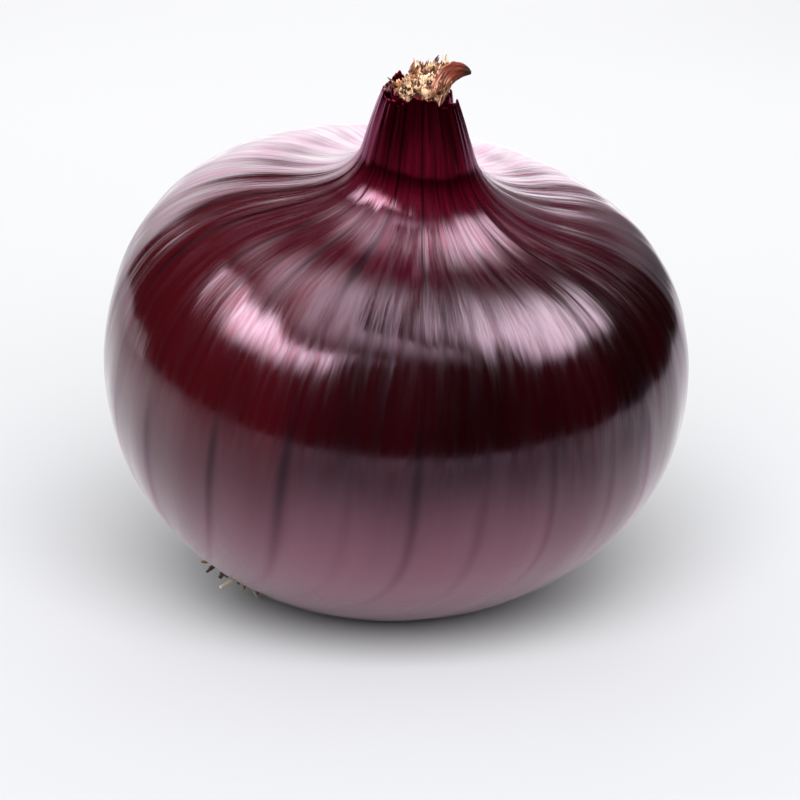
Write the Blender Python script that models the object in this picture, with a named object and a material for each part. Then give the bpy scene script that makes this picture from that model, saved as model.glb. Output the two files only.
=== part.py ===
"""A whole red onion with its dry neck and its dried roots, in metres, +Z up.

The bulb is made upright round its own axis, and an empty then tips it to how it lies.
The origin is the middle of the small flat spot that the onion rests on, and the neck leans towards -Y.
"""

import math
import random

import bmesh
import bpy
from mathutils import Euler, Matrix, Vector
from mathutils.geometry import normal

MM = 0.001
GAP = 0.3 * MM
GOLDEN_TURN = math.pi * (3.0 - math.sqrt(5.0))

# The bulb round its own axis: sizes above and below its widest place.
BULB_RADIUS = 40.0 * MM
BULB_DEPTH = 33.7 * MM
SHOULDER_HEIGHT = 23.1 * MM
SHOULDER_RADIUS = 19.0 * MM
BELLY_FULLNESS = 21.7 * MM
UNDERSIDE_POWER = 1.04
NECK_SET_BACK = 3.1 * MM
ROOT_SIDE_STEP = -3.5 * MM
SHOULDER_SWELL_TO_LEFT = 0.7 * MM
SHOULDER_SWELL_WIDTH = 12.0 * MM
OUTSIDE_SHOULDER = Vector((5.3, -0.8)) * MM
INSIDE_SHOULDER = Vector((-5.6, 0.85)) * MM

# The neck, measured along the same axis. Its outer skin ends below the rim of the scale inside it.
# The pairs such as BELOW_THROAT are the outline's handles, outwards and upwards from the named point.
NECK_UPRIGHT_ABOVE = 24.7 * MM
THROAT_RADIUS = 7.6 * MM
THROAT_HEIGHT = 30.6 * MM
SKIN_EDGE_RADIUS = 5.1 * MM
SKIN_EDGE_HEIGHT = 38.6 * MM
SKIN_EDGE_DROP_TO_RIGHT = 1.4 * MM
SKIN_THICKNESS = 0.6 * MM
INNER_RIM_HEIGHT = 39.6 * MM
CUP_FLOOR_HEIGHT = 37.0 * MM
CUP_FLOOR_RADIUS = 3.8 * MM
BELOW_THROAT = Vector((1.2, -4.6)) * MM
ABOVE_THROAT = Vector((-0.65, 2.5)) * MM
BELOW_SKIN_EDGE = Vector((1.0, -2.6)) * MM
RIM_RAGGEDNESS = 0.35 * MM
RIM_WAVES = ((5.0, 1.0, 1.0), (11.0, 2.0, 0.7))
SKIN_EDGE_TURN = 1.3
RIM_STEP = 0.1 * MM

# Raised veins that run from the neck to the roots.
VEINS = 26
VEIN_HEIGHT = 0.16 * MM
SEGMENTS_PER_VEIN = 3

# How the onion lies.
TIP_TO_FRONT = math.radians(14.3)
LEAN_TO_RIGHT = math.radians(7.2)
RESTING_CUT = 0.9 * MM
CUT_TOLERANCE = 1e-7

# The root plate has grown towards the left of the underside, in a shallow recess of the bulb.
ROOT_SHIFT = math.radians(28.0)
ROOT_SHIFT_BEARING = math.radians(125.0)
ROOT_RADIUS = 5.2 * MM
ROOT_RECESS = 1.1 * MM
RECESS_TAPER = 0.96
ROOT_PLATE_RISE = 0.9 * MM
ROOT_PLATE_STEPS = ((1.0, 0.35), (0.8, 0.8), (0.45, 1.0))
ROOT_PLATE_MIDDLE = 0.9
ROOT_PLATE_SLACK = 0.01

# The dried rootlets on the plate. Those that point at the surface have worn short of it.
ROOTLETS = 22
ROOTLET_DRAW = 7
ROOTLET_LENGTHS = (1.6 * MM, 2.8 * MM)
ROOTLET_SHARE_OF_CLEARANCE = 0.7
ROOTLET_RADIUS = 0.4 * MM
ROOTLET_TAPER = 0.35
ROOTLET_SPREAD = 0.74 * ROOT_RADIUS
ROOTLET_SPLAY = (0.25, 1.4)
ROOTLET_CURL = 0.5
ROOTLET_LATE_BEND = 0.35
ROOTLET_DROOP = 0.3
ROOTLET_SIDES = 5
ROOTLET_STATIONS = 4

# The dry leaf ends: pale shreds in the cup of the neck, and one browner end that curls out over the rim.
TUFT_CENTRE = Vector((-0.6, 0.5, 0.0)) * MM
TUFT_CORE_RADIUS = 2.6 * MM
TUFT_CORE_HEIGHT = 2.2 * MM
TUFT_CORE_SIDES = 16
TUFT_CORE_STEPS = ((1.0, 0.0), (1.0, 0.7), (0.6, 1.0))
TUFT_LEAVES = 12
TUFT_DRAW = 12
TUFT_SPREAD = 2.0 * MM
LEAF_THICKNESS = 0.62 * MM
LEAF_WIDTH = 2.4 * MM
LEAF_LENGTH_AT_LEFT = 3.4 * MM
LEAF_LENGTH_AT_RIGHT = 7.0 * MM
LEAF_LENGTH_CHANGE = 0.5 * MM
LEAF_BULGE = 0.5 * MM
LEAF_BULGE_FADE = 0.6
LEAF_SINK = 0.2 * TUFT_CORE_HEIGHT
LEAF_HEADING = 0.7
LEAF_TWIST = 0.8
LEAF_END_SLANT = 0.3
LEAF_KNEE = 0.45
LEAF_ELBOW = 0.8
LEAF_ELBOW_LEAN = 0.025
LEAF_TIP_LEAN = 0.18
LEAF_CELLS = (2, 4)
CURLED_LEAF_THICKNESS = 0.68 * MM
CURLED_LEAF_UPPER_EDGE = ((0.9, -2.8, 0.5), (0.4, -3.0, 7.0), (3.3, -2.6, 9.9), (5.6, -1.5, 6.9))
CURLED_LEAF_LOWER_EDGE = ((3.1, -0.3, 0.5), (3.1, -0.4, 3.2), (3.8, -0.6, 5.2), (5.9, -1.3, 6.3))
CURLED_LEAF_BULGE = Vector((0.5, -0.5, 0.0)) * MM
CURLED_LEAF_CELLS = (4, 8)

# Mesh density.
SEGMENTS = SEGMENTS_PER_VEIN * VEINS
RINGS_NECK = 6
RINGS_FLARE = 7
RINGS_BELLY = 14
RINGS_UNDERSIDE = 20
SHARP_ANGLE = math.radians(40.0)

SKIN_COLOUR = (0.055, 0.004, 0.014)
SKIN_ROUGHNESS = 0.35
DRY_LEAF_COLOUR = (0.60, 0.42, 0.24)
DRY_LEAF_ROUGHNESS = 0.8
CURLED_LEAF_COLOUR = (0.20, 0.035, 0.012)
CURLED_LEAF_ROUGHNESS = 0.55
ROOT_COLOUR = (0.16, 0.10, 0.06)
ROOT_ROUGHNESS = 0.85


def clear_scene():
    for thing in list(bpy.data.objects):
        bpy.data.objects.remove(thing, do_unlink=True)


def material(name, colour, roughness):
    made = bpy.data.materials.new(name)
    made.use_nodes = True
    shader = made.node_tree.nodes["Principled BSDF"]
    shader.inputs["Base Color"].default_value = (*colour, 1.0)
    shader.inputs["Roughness"].default_value = roughness
    shader.inputs["Metallic"].default_value = 0.0
    return made


def bezier(start, leave, arrive, end, share):
    """The point at a share of a cubic curve given by its ends and handles."""
    rest = 1.0 - share
    return (
        start * rest**3
        + leave * (3.0 * rest**2 * share)
        + arrive * (3.0 * rest * share**2)
        + end * share**3
    )


def stretch(curve, count):
    """The first count points of a curve cut into count equal shares, without its end."""
    return [bezier(*curve, i / count) for i in range(count)]


def profile():
    """(radius, height) of the upper bulb, from the edge of the neck's skin down to above the widest place."""
    edge = Vector((SKIN_EDGE_RADIUS, SKIN_EDGE_HEIGHT))
    throat = Vector((THROAT_RADIUS, THROAT_HEIGHT))
    shoulder = Vector((SHOULDER_RADIUS, SHOULDER_HEIGHT))
    widest = Vector((BULB_RADIUS, 0.0))
    down_neck = (edge, edge + BELOW_SKIN_EDGE, throat + ABOVE_THROAT, throat)
    flare = (throat, throat + BELOW_THROAT, shoulder + INSIDE_SHOULDER, shoulder)
    belly = (shoulder, shoulder + OUTSIDE_SHOULDER, Vector((BULB_RADIUS, BELLY_FULLNESS)), widest)
    return stretch(down_neck, RINGS_NECK) + stretch(flare, RINGS_FLARE) + stretch(belly, RINGS_BELLY)


def rise_share(height):
    """0 at the widest place and below it, growing to 1 at the shoulder and above."""
    return min(max(height / SHOULDER_HEIGHT, 0.0), 1.0) ** 2


def upper_point(radius, height, around):
    """A point of the upper bulb. The neck is set back and upright, and the left shoulder is fuller."""
    upright = math.tan(LEAN_TO_RIGHT) * max(height - NECK_UPRIGHT_ABOVE, 0.0)
    across = radius * math.sin(around) - upright
    back = NECK_SET_BACK * rise_share(height) - radius * math.cos(around)
    from_shoulder = (radius - SHOULDER_RADIUS) / SHOULDER_SWELL_WIDTH
    swell = SHOULDER_SWELL_TO_LEFT * math.sin(around) * math.exp(-(from_shoulder**2))
    return Vector((across, back, height - swell))


def ragged(around):
    """A torn edge: how far it stands above or below its height at an angle round the neck."""
    return RIM_RAGGEDNESS * sum(share * math.sin(count * around + start) for count, start, share in RIM_WAVES)


def skin_edge_drop(around):
    """How far the edge of the outer skin lies below its height: it has torn lower on the right."""
    return SKIN_EDGE_DROP_TO_RIGHT * max(math.sin(around), 0.0) - ragged(around + SKIN_EDGE_TURN)


def underside_point(around, below):
    """A point of the lower bulb, where below is 0 at the widest place and 1 at the roots.

    The lines to the roots are turned over the surface, so that they meet at the shifted root plate.
    """
    angle = below * math.pi / 2.0
    flat = math.cos(angle)
    direction = Vector((flat * math.sin(around), -flat * math.cos(around), -math.sin(angle)))
    turn_axis = Vector((math.cos(ROOT_SHIFT_BEARING), math.sin(ROOT_SHIFT_BEARING), 0.0))
    eased = below * below * (3.0 - 2.0 * below)
    direction.rotate(Matrix.Rotation(ROOT_SHIFT * eased, 3, turn_axis))
    spread = math.hypot(direction.x, direction.y)
    radius = BULB_RADIUS * spread ** (UNDERSIDE_POWER - 1.0)
    side_step = ROOT_SIDE_STEP * direction.z * direction.z
    return Vector((radius * direction.x + side_step, radius * direction.y, BULB_DEPTH * direction.z))


def angles():
    return [2.0 * math.pi * i / SEGMENTS for i in range(SEGMENTS)]


def with_veins(ring, strength):
    """The ring with its points moved out from its middle, or in, to raise the veins."""
    middle = sum(ring, Vector()) / len(ring)
    height = VEIN_HEIGHT * strength
    return [
        point + (point - middle).normalized() * height * math.cos(VEINS * around)
        for point, around in zip(ring, angles())
    ]


def neck_top_rings():
    """The cup of the neck and the rims of its two scales, from the middle of the cup outwards."""
    inner = SKIN_EDGE_RADIUS - SKIN_THICKNESS
    steps = (
        (CUP_FLOOR_RADIUS, lambda around: CUP_FLOOR_HEIGHT),
        (inner - SKIN_THICKNESS, lambda around: INNER_RIM_HEIGHT + ragged(around)),
        (inner - RIM_STEP, lambda around: INNER_RIM_HEIGHT + ragged(around) - RIM_STEP),
        (inner, lambda around: SKIN_EDGE_HEIGHT - skin_edge_drop(around) - RIM_STEP),
    )
    return [[upper_point(radius, height(around), around) for around in angles()] for radius, height in steps]


def upper_rings():
    """The skin from the torn edge of the neck to just above the widest place."""
    rings = []
    for i, (radius, height) in enumerate(profile()):
        edge_share = max(1.0 - i / RINGS_NECK, 0.0)
        ring = [
            upper_point(radius, height - edge_share * skin_edge_drop(around), around) for around in angles()
        ]
        rings.append(with_veins(ring, math.sqrt(radius / BULB_RADIUS)))
    return rings


def underside_rings():
    """The skin from the widest place to the edge of the root plate's recess."""
    last = 1.0 - math.asin(ROOT_RADIUS / BULB_RADIUS) / (math.pi / 2.0)
    rings = []
    for i in range(RINGS_UNDERSIDE + 1):
        below = last * i / RINGS_UNDERSIDE
        ring = [underside_point(around, below) for around in angles()]
        rings.append(with_veins(ring, 1.0 - below**6))
    return rings


def root_frame(recess_edge):
    """The root plate's own axes: its middle on the bulb's surface, with +Z out of the bulb."""
    middle = sum(recess_edge, Vector()) / len(recess_edge)
    outward = normal(recess_edge)
    if outward.dot(middle) < 0.0:
        outward.negate()
    turn = outward.to_track_quat("Z", "Y").to_matrix().to_4x4()
    return Matrix.Translation(middle) @ turn


def recess_ring(recess_edge, frame):
    """The foot of the recess's wall, flat across."""
    to_plate = frame.inverted()
    local = [to_plate @ point for point in recess_edge]
    return [frame @ Vector((p.x * RECESS_TAPER, p.y * RECESS_TAPER, -ROOT_RECESS)) for p in local]


def flat_directions(count):
    """Unit directions spread evenly round +Z."""
    turn = 2.0 * math.pi / count
    return [Vector((math.cos(turn * k), math.sin(turn * k), 0.0)) for k in range(count)]


def skin_of_rings(mesh, rings, first, last):
    """Faces between rings of equal count, closed by a fan at each end."""
    rows = [[mesh.verts.new(point) for point in ring] for ring in rings]
    for upper, lower in zip(rows, rows[1:]):
        for i in range(len(upper)):
            j = (i + 1) % len(upper)
            mesh.faces.new((upper[i], lower[i], lower[j], upper[j]))
    for row, tip in ((rows[0], mesh.verts.new(first)), (rows[-1], mesh.verts.new(last))):
        for i in range(len(row)):
            mesh.faces.new((row[i], row[(i + 1) % len(row)], tip))
    bmesh.ops.recalc_face_normals(mesh, faces=mesh.faces)


def cut_resting_spot(mesh, up):
    """Cuts the lowest of the bulb off flat, and returns the middle of the spot."""
    lowest = min(vert.co.dot(up) for vert in mesh.verts)
    cut = bmesh.ops.bisect_plane(
        mesh,
        geom=mesh.verts[:] + mesh.edges[:] + mesh.faces[:],
        dist=CUT_TOLERANCE,
        plane_co=up * (lowest + RESTING_CUT),
        plane_no=up,
        clear_inner=True,
    )
    edges = [item for item in cut["geom_cut"] if isinstance(item, bmesh.types.BMEdge)]
    spot = bmesh.ops.contextual_create(mesh, geom=edges)["faces"][0]
    bmesh.ops.recalc_face_normals(mesh, faces=mesh.faces)
    return spot.calc_center_median_weighted()


def object_of(name, mesh, finish, parent):
    data = bpy.data.meshes.new(name)
    mesh.to_mesh(data)
    mesh.free()
    data.materials.append(finish)
    data.shade_smooth()
    data.set_sharp_from_angle(angle=SHARP_ANGLE)
    made = bpy.data.objects.new(name, data)
    bpy.context.scene.collection.objects.link(made)
    made.parent = parent
    return made


def fuse(name, pieces, finish, parent):
    """Joins closed pieces that overlap into one solid."""
    others = bpy.data.collections.new(name + "_pieces")
    bpy.context.scene.collection.children.link(others)
    for piece in pieces[1:]:
        bpy.context.scene.collection.objects.unlink(piece)
        others.objects.link(piece)
    base = pieces[0]
    base.name = name
    join = base.modifiers.new("join", "BOOLEAN")
    join.operation = "UNION"
    join.operand_type = "COLLECTION"
    join.collection = others
    bpy.context.view_layer.update()
    graph = bpy.context.evaluated_depsgraph_get()
    joined = bpy.data.meshes.new_from_object(base.evaluated_get(graph))
    base.modifiers.clear()
    base.data = joined
    joined.materials.clear()
    joined.materials.append(finish)
    for piece in list(others.objects):
        bpy.data.objects.remove(piece, do_unlink=True)
    bpy.data.collections.remove(others)
    base.parent = parent
    return base


def build_bulb(lying, finish):
    """The bulb with its neck, and the frame and foot of the recess for the roots.

    The empty is moved so that the middle of the flat spot is the origin.
    """
    underside = underside_rings()
    frame = root_frame(underside[-1])
    foot = recess_ring(underside[-1], frame)
    rings = neck_top_rings() + upper_rings() + underside + [foot]
    cup_middle = upper_point(0.0, CUP_FLOOR_HEIGHT, 0.0)
    mesh = bmesh.new()
    skin_of_rings(mesh, rings, cup_middle, frame @ Vector((0.0, 0.0, -ROOT_RECESS)))
    tip = lying.rotation_euler.to_matrix()
    spot = cut_resting_spot(mesh, tip.transposed() @ Vector((0.0, 0.0, 1.0)))
    lying.location = -(tip @ spot)
    object_of("bulb", mesh, finish, lying)
    return frame, foot


def root_plate(frame, foot, finish, parent):
    """The corky disc that the roots grow from, in the recess with a gap all round."""
    to_plate = frame.inverted()
    outline = [to_plate @ point for point in foot[::SEGMENTS_PER_VEIN]]
    shrink = 1.0 - GAP / ROOT_RADIUS / RECESS_TAPER - ROOT_PLATE_SLACK
    foot_height = GAP - ROOT_RECESS
    raised = [(shrink * width, ROOT_PLATE_RISE * height) for width, height in ROOT_PLATE_STEPS]
    levels = [(shrink, foot_height)] + raised
    top = Vector((0.0, 0.0, ROOT_PLATE_MIDDLE * ROOT_PLATE_RISE))
    rings = [[Vector((p.x * width, p.y * width, height)) for p in outline] for width, height in levels]
    mesh = bmesh.new()
    skin_of_rings(mesh, rings, Vector((0.0, 0.0, foot_height)), top)
    return object_of("root_plate", mesh, finish, parent)


def rootlet_centres(number, draw, clearance_above):
    """The middle line of one dried root in the plate's axes: it starts in the plate and curls outwards."""
    bearing = GOLDEN_TURN * number
    start_radius = ROOTLET_SPREAD * math.sqrt((number + 0.5) / ROOTLETS)
    splay = draw.uniform(*ROOTLET_SPLAY) * start_radius / ROOT_RADIUS
    curl = draw.uniform(-ROOTLET_CURL, ROOTLET_CURL)
    out = Vector((math.cos(bearing), math.sin(bearing), 0.0))
    aside = Vector((-out.y, out.x, 0.0))
    start = out * start_radius
    length = min(draw.uniform(*ROOTLET_LENGTHS), ROOTLET_SHARE_OF_CLEARANCE * clearance_above(start))
    centres = []
    for i in range(ROOTLET_STATIONS):
        share = i / (ROOTLET_STATIONS - 1)
        along = length * share
        bend = out * splay + (out * ROOTLET_LATE_BEND * splay + aside * curl) * share
        rise = along * (1.0 - ROOTLET_DROOP * splay * share)
        centres.append(start + bend * along + Vector((0.0, 0.0, rise)))
    return centres


def rootlet(centres, finish, parent):
    """A thin tapered tube along its middle line."""
    rings = []
    for i, centre in enumerate(centres):
        radius = ROOTLET_RADIUS * (1.0 - ROOTLET_TAPER * i / (ROOTLET_STATIONS - 1))
        rings.append([centre + radius * direction for direction in flat_directions(ROOTLET_SIDES)])
    mesh = bmesh.new()
    skin_of_rings(mesh, rings, centres[0], centres[-1])
    return object_of("rootlet", mesh, finish, parent)


def build_roots(frame, foot, lying, finish):
    draw = random.Random(ROOTLET_DRAW)
    seat = bpy.data.objects.new("root_seat", None)
    bpy.context.scene.collection.objects.link(seat)
    seat.parent = lying
    seat.matrix_local = frame
    tip = lying.rotation_euler.to_matrix()

    def clearance_above(point):
        """How high a point of the plate is above the surface that the onion rests on."""
        return (tip @ (frame @ point) + lying.location).z

    pieces = [root_plate(frame, foot, finish, seat)]
    for number in range(ROOTLETS):
        centres = rootlet_centres(number, draw, clearance_above)
        pieces.append(rootlet(centres, finish, seat))
    fuse("dried_roots", pieces, finish, seat)


def sheet(name, left, right, bulge, cells, thickness, finish, parent):
    """A closed leaf of even thickness between two edge curves, with its middle bulged."""
    across, along = cells
    mesh = bmesh.new()
    rows = []
    for i in range(along + 1):
        share = i / along
        a = bezier(*left, share)
        b = bezier(*right, share)
        row = []
        for j in range(across + 1):
            side = j / across
            out = bulge * math.sin(math.pi * side) * (1.0 - LEAF_BULGE_FADE * share)
            row.append(mesh.verts.new(a.lerp(b, side) + out))
        rows.append(row)
    for lower, upper in zip(rows, rows[1:]):
        for j in range(across):
            mesh.faces.new((lower[j], lower[j + 1], upper[j + 1]))
            mesh.faces.new((lower[j], upper[j + 1], upper[j]))
    made = object_of(name, mesh, finish, parent)
    thicken = made.modifiers.new("thickness", "SOLIDIFY")
    thicken.thickness = thickness
    thicken.offset = 0.0
    return made


def tuft_foot(height):
    """The middle of the tuft at a height above the cup's floor."""
    return upper_point(0.0, CUP_FLOOR_HEIGHT + GAP + height, 0.0) + TUFT_CENTRE


def tuft_core(finish, parent):
    """The packed foot that the pale shreds stand out of."""
    rings = []
    for width, height in TUFT_CORE_STEPS:
        middle = tuft_foot(height * TUFT_CORE_HEIGHT)
        radius = TUFT_CORE_RADIUS * width
        rings.append([middle + radius * direction for direction in flat_directions(TUFT_CORE_SIDES)])
    mesh = bmesh.new()
    skin_of_rings(mesh, rings, tuft_foot(0.0), tuft_foot(TUFT_CORE_HEIGHT))
    return object_of("tuft_core", mesh, finish, parent)


def tuft_leaf(number, draw, finish, parent):
    """One torn, dried leaf end: longer towards the right of the neck, twisted, and bent outwards."""
    bearing = GOLDEN_TURN * number
    out = Vector((math.cos(bearing), math.sin(bearing), 0.0))
    foot = tuft_foot(LEAF_SINK) + out * TUFT_SPREAD * math.sqrt((number + 0.5) / TUFT_LEAVES)
    to_right = (foot.x + SKIN_EDGE_RADIUS) / (2.0 * SKIN_EDGE_RADIUS)
    length = LEAF_LENGTH_AT_LEFT + (LEAF_LENGTH_AT_RIGHT - LEAF_LENGTH_AT_LEFT) * to_right
    length += draw.uniform(-LEAF_LENGTH_CHANGE, LEAF_LENGTH_CHANGE)
    up = Vector((0.0, 0.0, length))
    heading = draw.uniform(-LEAF_HEADING, LEAF_HEADING)
    end_heading = heading + draw.uniform(-LEAF_TWIST, LEAF_TWIST)
    end_slant = draw.uniform(-LEAF_END_SLANT, LEAF_END_SLANT)
    across = Vector((math.cos(heading), math.sin(heading), 0.0)) * LEAF_WIDTH / 2.0
    end_across = Vector((math.cos(end_heading), math.sin(end_heading), end_slant)) * LEAF_WIDTH / 3.0
    knee = foot + LEAF_KNEE * up
    elbow = foot + LEAF_ELBOW * up + LEAF_ELBOW_LEAN * length * out
    top = foot + up + draw.uniform(0.0, LEAF_TIP_LEAN) * length * out
    left = (foot - across, knee - across, elbow - end_across, top - end_across)
    right = (foot + across, knee + across, elbow + end_across, top + end_across)
    bulge = Vector((0.0, -LEAF_BULGE, 0.0))
    return sheet("tuft_leaf", left, right, bulge, LEAF_CELLS, LEAF_THICKNESS, finish, parent)


def build_tuft(lying, finish):
    draw = random.Random(TUFT_DRAW)
    pieces = [tuft_core(finish, lying)]
    pieces += [tuft_leaf(number, draw, finish, lying) for number in range(TUFT_LEAVES)]
    fuse("dry_leaf_ends", pieces, finish, lying)


def build_curled_leaf(lying, finish):
    """The browner leaf end: it stands in the right of the cup and curls out over the rim to a point."""
    axis = upper_point(0.0, CUP_FLOOR_HEIGHT, 0.0)
    left = [axis + Vector(point) * MM for point in CURLED_LEAF_UPPER_EDGE]
    right = [axis + Vector(point) * MM for point in CURLED_LEAF_LOWER_EDGE]
    name = "curled_leaf_end"
    sheet(name, left, right, CURLED_LEAF_BULGE, CURLED_LEAF_CELLS, CURLED_LEAF_THICKNESS, finish, lying)


def lying_empty():
    empty = bpy.data.objects.new("onion", None)
    bpy.context.scene.collection.objects.link(empty)
    empty.rotation_euler = Euler((TIP_TO_FRONT, LEAN_TO_RIGHT, 0.0), "XYZ")
    return empty


def build():
    clear_scene()
    lying = lying_empty()
    frame, foot = build_bulb(lying, material("red_skin", SKIN_COLOUR, SKIN_ROUGHNESS))
    build_roots(frame, foot, lying, material("dried_root", ROOT_COLOUR, ROOT_ROUGHNESS))
    build_tuft(lying, material("pale_dry_leaf", DRY_LEAF_COLOUR, DRY_LEAF_ROUGHNESS))
    build_curled_leaf(lying, material("brown_dry_leaf", CURLED_LEAF_COLOUR, CURLED_LEAF_ROUGHNESS))


build()
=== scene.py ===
# %% [markdown]
# A red onion, dressed.
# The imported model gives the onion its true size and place. This lesson puts a fine surface round it:
# a glossy ribbed skin, torn dry leaf ends in the neck and dried roots below.
# Everything is in metres, with +Z up, and the onion stands on the plane Z = 0.

# %% Load the frame
import math
import random

import bpy
import numpy as np
from mathutils import Euler, Matrix, Vector, noise


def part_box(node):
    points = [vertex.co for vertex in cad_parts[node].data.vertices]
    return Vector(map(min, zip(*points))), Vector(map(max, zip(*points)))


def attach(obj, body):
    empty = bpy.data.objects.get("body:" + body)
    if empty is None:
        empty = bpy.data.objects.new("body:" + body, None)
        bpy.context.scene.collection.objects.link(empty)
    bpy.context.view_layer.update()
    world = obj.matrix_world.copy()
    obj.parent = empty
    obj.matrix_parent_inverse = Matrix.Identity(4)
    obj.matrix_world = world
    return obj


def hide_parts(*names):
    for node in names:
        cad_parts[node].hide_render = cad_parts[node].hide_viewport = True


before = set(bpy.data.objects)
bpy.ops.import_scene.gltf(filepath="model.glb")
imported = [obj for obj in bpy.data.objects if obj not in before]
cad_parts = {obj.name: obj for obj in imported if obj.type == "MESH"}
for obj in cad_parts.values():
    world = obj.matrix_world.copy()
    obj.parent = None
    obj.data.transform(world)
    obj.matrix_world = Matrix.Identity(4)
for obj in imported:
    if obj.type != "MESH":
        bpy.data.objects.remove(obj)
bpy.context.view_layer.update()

MM = 0.001


# %% [markdown]
# Small helpers that every step uses.
# An operator acts on all that is selected, so each step starts by deselecting everything.
# A finished piece keeps its place in its mesh, with its object at the origin.

# %% Helpers for modelling
def deselect():
    if bpy.context.object and bpy.context.object.mode != "OBJECT":
        bpy.ops.object.mode_set(mode="OBJECT")
    bpy.ops.object.select_all(action="DESELECT")


def only(thing):
    """Makes one object the selected and active one."""
    deselect()
    thing.select_set(True)
    bpy.context.view_layer.objects.active = thing
    return thing


def edit(thing):
    """Opens one object in edit mode, with all its points selected."""
    only(thing)
    bpy.ops.object.mode_set(mode="EDIT")
    bpy.ops.mesh.select_mode(type="VERT")
    bpy.ops.mesh.select_all(action="SELECT")


def leave_edit():
    bpy.ops.object.mode_set(mode="OBJECT")


def join(name, things):
    """Joins objects into one, with the given name."""
    deselect()
    for thing in things:
        thing.select_set(True)
    bpy.context.view_layer.objects.active = things[0]
    bpy.ops.object.join()
    made = bpy.context.object
    made.name = name
    made.data.name = name
    return made


def points_of(thing):
    """The vertices of an object as an array with one row each."""
    flat = np.empty(len(thing.data.vertices) * 3, np.float32)
    thing.data.vertices.foreach_get("co", flat)
    return flat.reshape(-1, 3).astype(float)


def set_points(thing, points):
    thing.data.vertices.foreach_set("co", np.asarray(points, np.float32).ravel())
    thing.data.update()


def normals_of(thing):
    flat = np.empty(len(thing.data.vertices) * 3, np.float32)
    thing.data.vertices.foreach_get("normal", flat)
    return flat.reshape(-1, 3).astype(float)


def add_attribute(thing, name, rows):
    """Stores three numbers at each vertex, for the materials to read."""
    layer = thing.data.attributes.new(name, "FLOAT_VECTOR", "POINT")
    layer.data.foreach_set("vector", np.asarray(rows, np.float32).ravel())


def finish_piece(thing, node, material):
    """Gives a finished piece its material and its body, and hides the imported part that it stands for."""
    thing.data.materials.clear()
    thing.data.materials.append(material)
    only(thing)
    bpy.ops.object.shade_smooth()
    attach(thing, "root")
    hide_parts(node)
    triangles = sum(len(face.vertices) - 2 for face in thing.data.polygons)
    print(thing.name, "has", triangles, "triangles")


# %% [markdown]
# The camera looks at the onion a little from above, from 0.38 m away, as a small product shot does.
# Its lens is long for that distance, so that the onion fills the frame.

# %% Camera
BULB_CENTRE = Vector((1.48, 2.91, 32.79)) * MM
VIEW_ELEVATION = math.radians(16.0)
VIEW_DISTANCE = 380.0 * MM
LENS = 124.4
SENSOR = 36.0
FRAME_SHIFT = (0.0045, -0.0486)
CLIP_START = 10.0 * MM


def place_camera():
    towards_viewer = Vector((0.0, -math.cos(VIEW_ELEVATION), math.sin(VIEW_ELEVATION)))
    place = BULB_CENTRE + VIEW_DISTANCE * towards_viewer
    bpy.ops.object.camera_add(location=place, rotation=(math.pi / 2.0 - VIEW_ELEVATION, 0.0, 0.0))
    camera = bpy.context.object
    camera.name = "photo_camera"
    camera.data.sensor_width = SENSOR
    camera.data.lens = LENS
    camera.data.shift_x, camera.data.shift_y = FRAME_SHIFT
    camera.data.clip_start = CLIP_START
    bpy.context.scene.camera = camera
    return camera


camera = place_camera()
bpy.context.scene.view_settings.view_transform = "Standard"
print("camera at", [round(value / MM) for value in camera.location], "mm")


# %% [markdown]
# A glossy onion shows its studio: each highlight is the reflection of something bright.
# Three soft boxes hang overhead: a long one at the left, a broad one at the right and a weak one between.
# Each fades to its edges, so its reflection does too. A white sheet stands behind, and a low one at the
# left. The room in front is dark, which makes the dark band across the belly.
# The floor is white for the camera everywhere, with painted light that makes it lighter with distance, but
# reflections only find it near the onion, in painted shades of their own.
# A key light from the front and a plain fill from all sides light what is matt and keep the shadow soft.
# Reflections see neither of them, so the dark parts stay dark.

# %% Sizes and strengths of the studio
FLOOR_SIZE = 4.0
FLOOR_FRONT = -0.285
FLOOR_FRONT_FADE = 0.02
FLOOR_RIGHT = 0.50
FLOOR_RIGHT_FADE = 0.03
FLOOR_COLOUR = (0.272, 0.274, 0.286)
# The far colour and the mirrored colours are painted light and shade on the floor.
FAR_FLOOR_PAINTED_LIGHT = (0.485, 0.486, 0.492)
FLOOR_PAINTED_LIGHT_FADE = (-0.20, 0.42)
MIRRORED_FRONT_PAINTED_SHADE = (0.215, 0.215, 0.225)
MIRRORED_BACK_PAINTED_LIGHT = (0.52, 0.52, 0.53)
MIRRORED_PAINTED_LIGHT_FADE = (-0.12, 0.06)
LIGHT_HEIGHT = 0.62
SOFT_BOX_TILT = 0.01
SOFT_BOX_FULL_SHARE = 0.3
SOFT_BOXES = (
    # name, middle x and y, half length and half width, turn in degrees, strength
    ("soft_box_left", -0.20, -0.12, 0.50, 0.33, 33.0, 20.0),
    ("soft_box_middle", 0.07, 0.01, 0.34, 0.32, 0.0, 4.6),
    ("soft_box_right", 0.42, 0.10, 0.33, 0.30, -15.0, 11.0),
)
WHITE = (1.0, 1.0, 1.0)
BACKDROP_COLOUR = (0.98, 0.98, 1.0)
BACKDROP_DISTANCE = 0.75
BACKDROP_SIDES = (-0.67, 0.60)
BACKDROP_HEIGHTS = (0.74, 0.60)
BACKDROP_STRENGTHS = (2.4, 5.0)
BACKDROP_RISE = (-0.5, 0.15)
BACKDROP_BRIGHT_UP_TO = 0.235
BACKDROP_END_FADE = 0.03
BACKDROP_PAST_END = 0.1
BACKDROP_FOOT = (0.12, 0.40)
BACKDROP_FOOT_SHARE = 0.5
BACKDROP_TOP = (0.52, 0.72)
BACKDROP_TOP_SHARE = 0.35
SIDE_SHEET_PLACE = -0.70
SIDE_SHEET_HEIGHT = 0.12
SIDE_SHEET_START = 0.30
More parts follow.
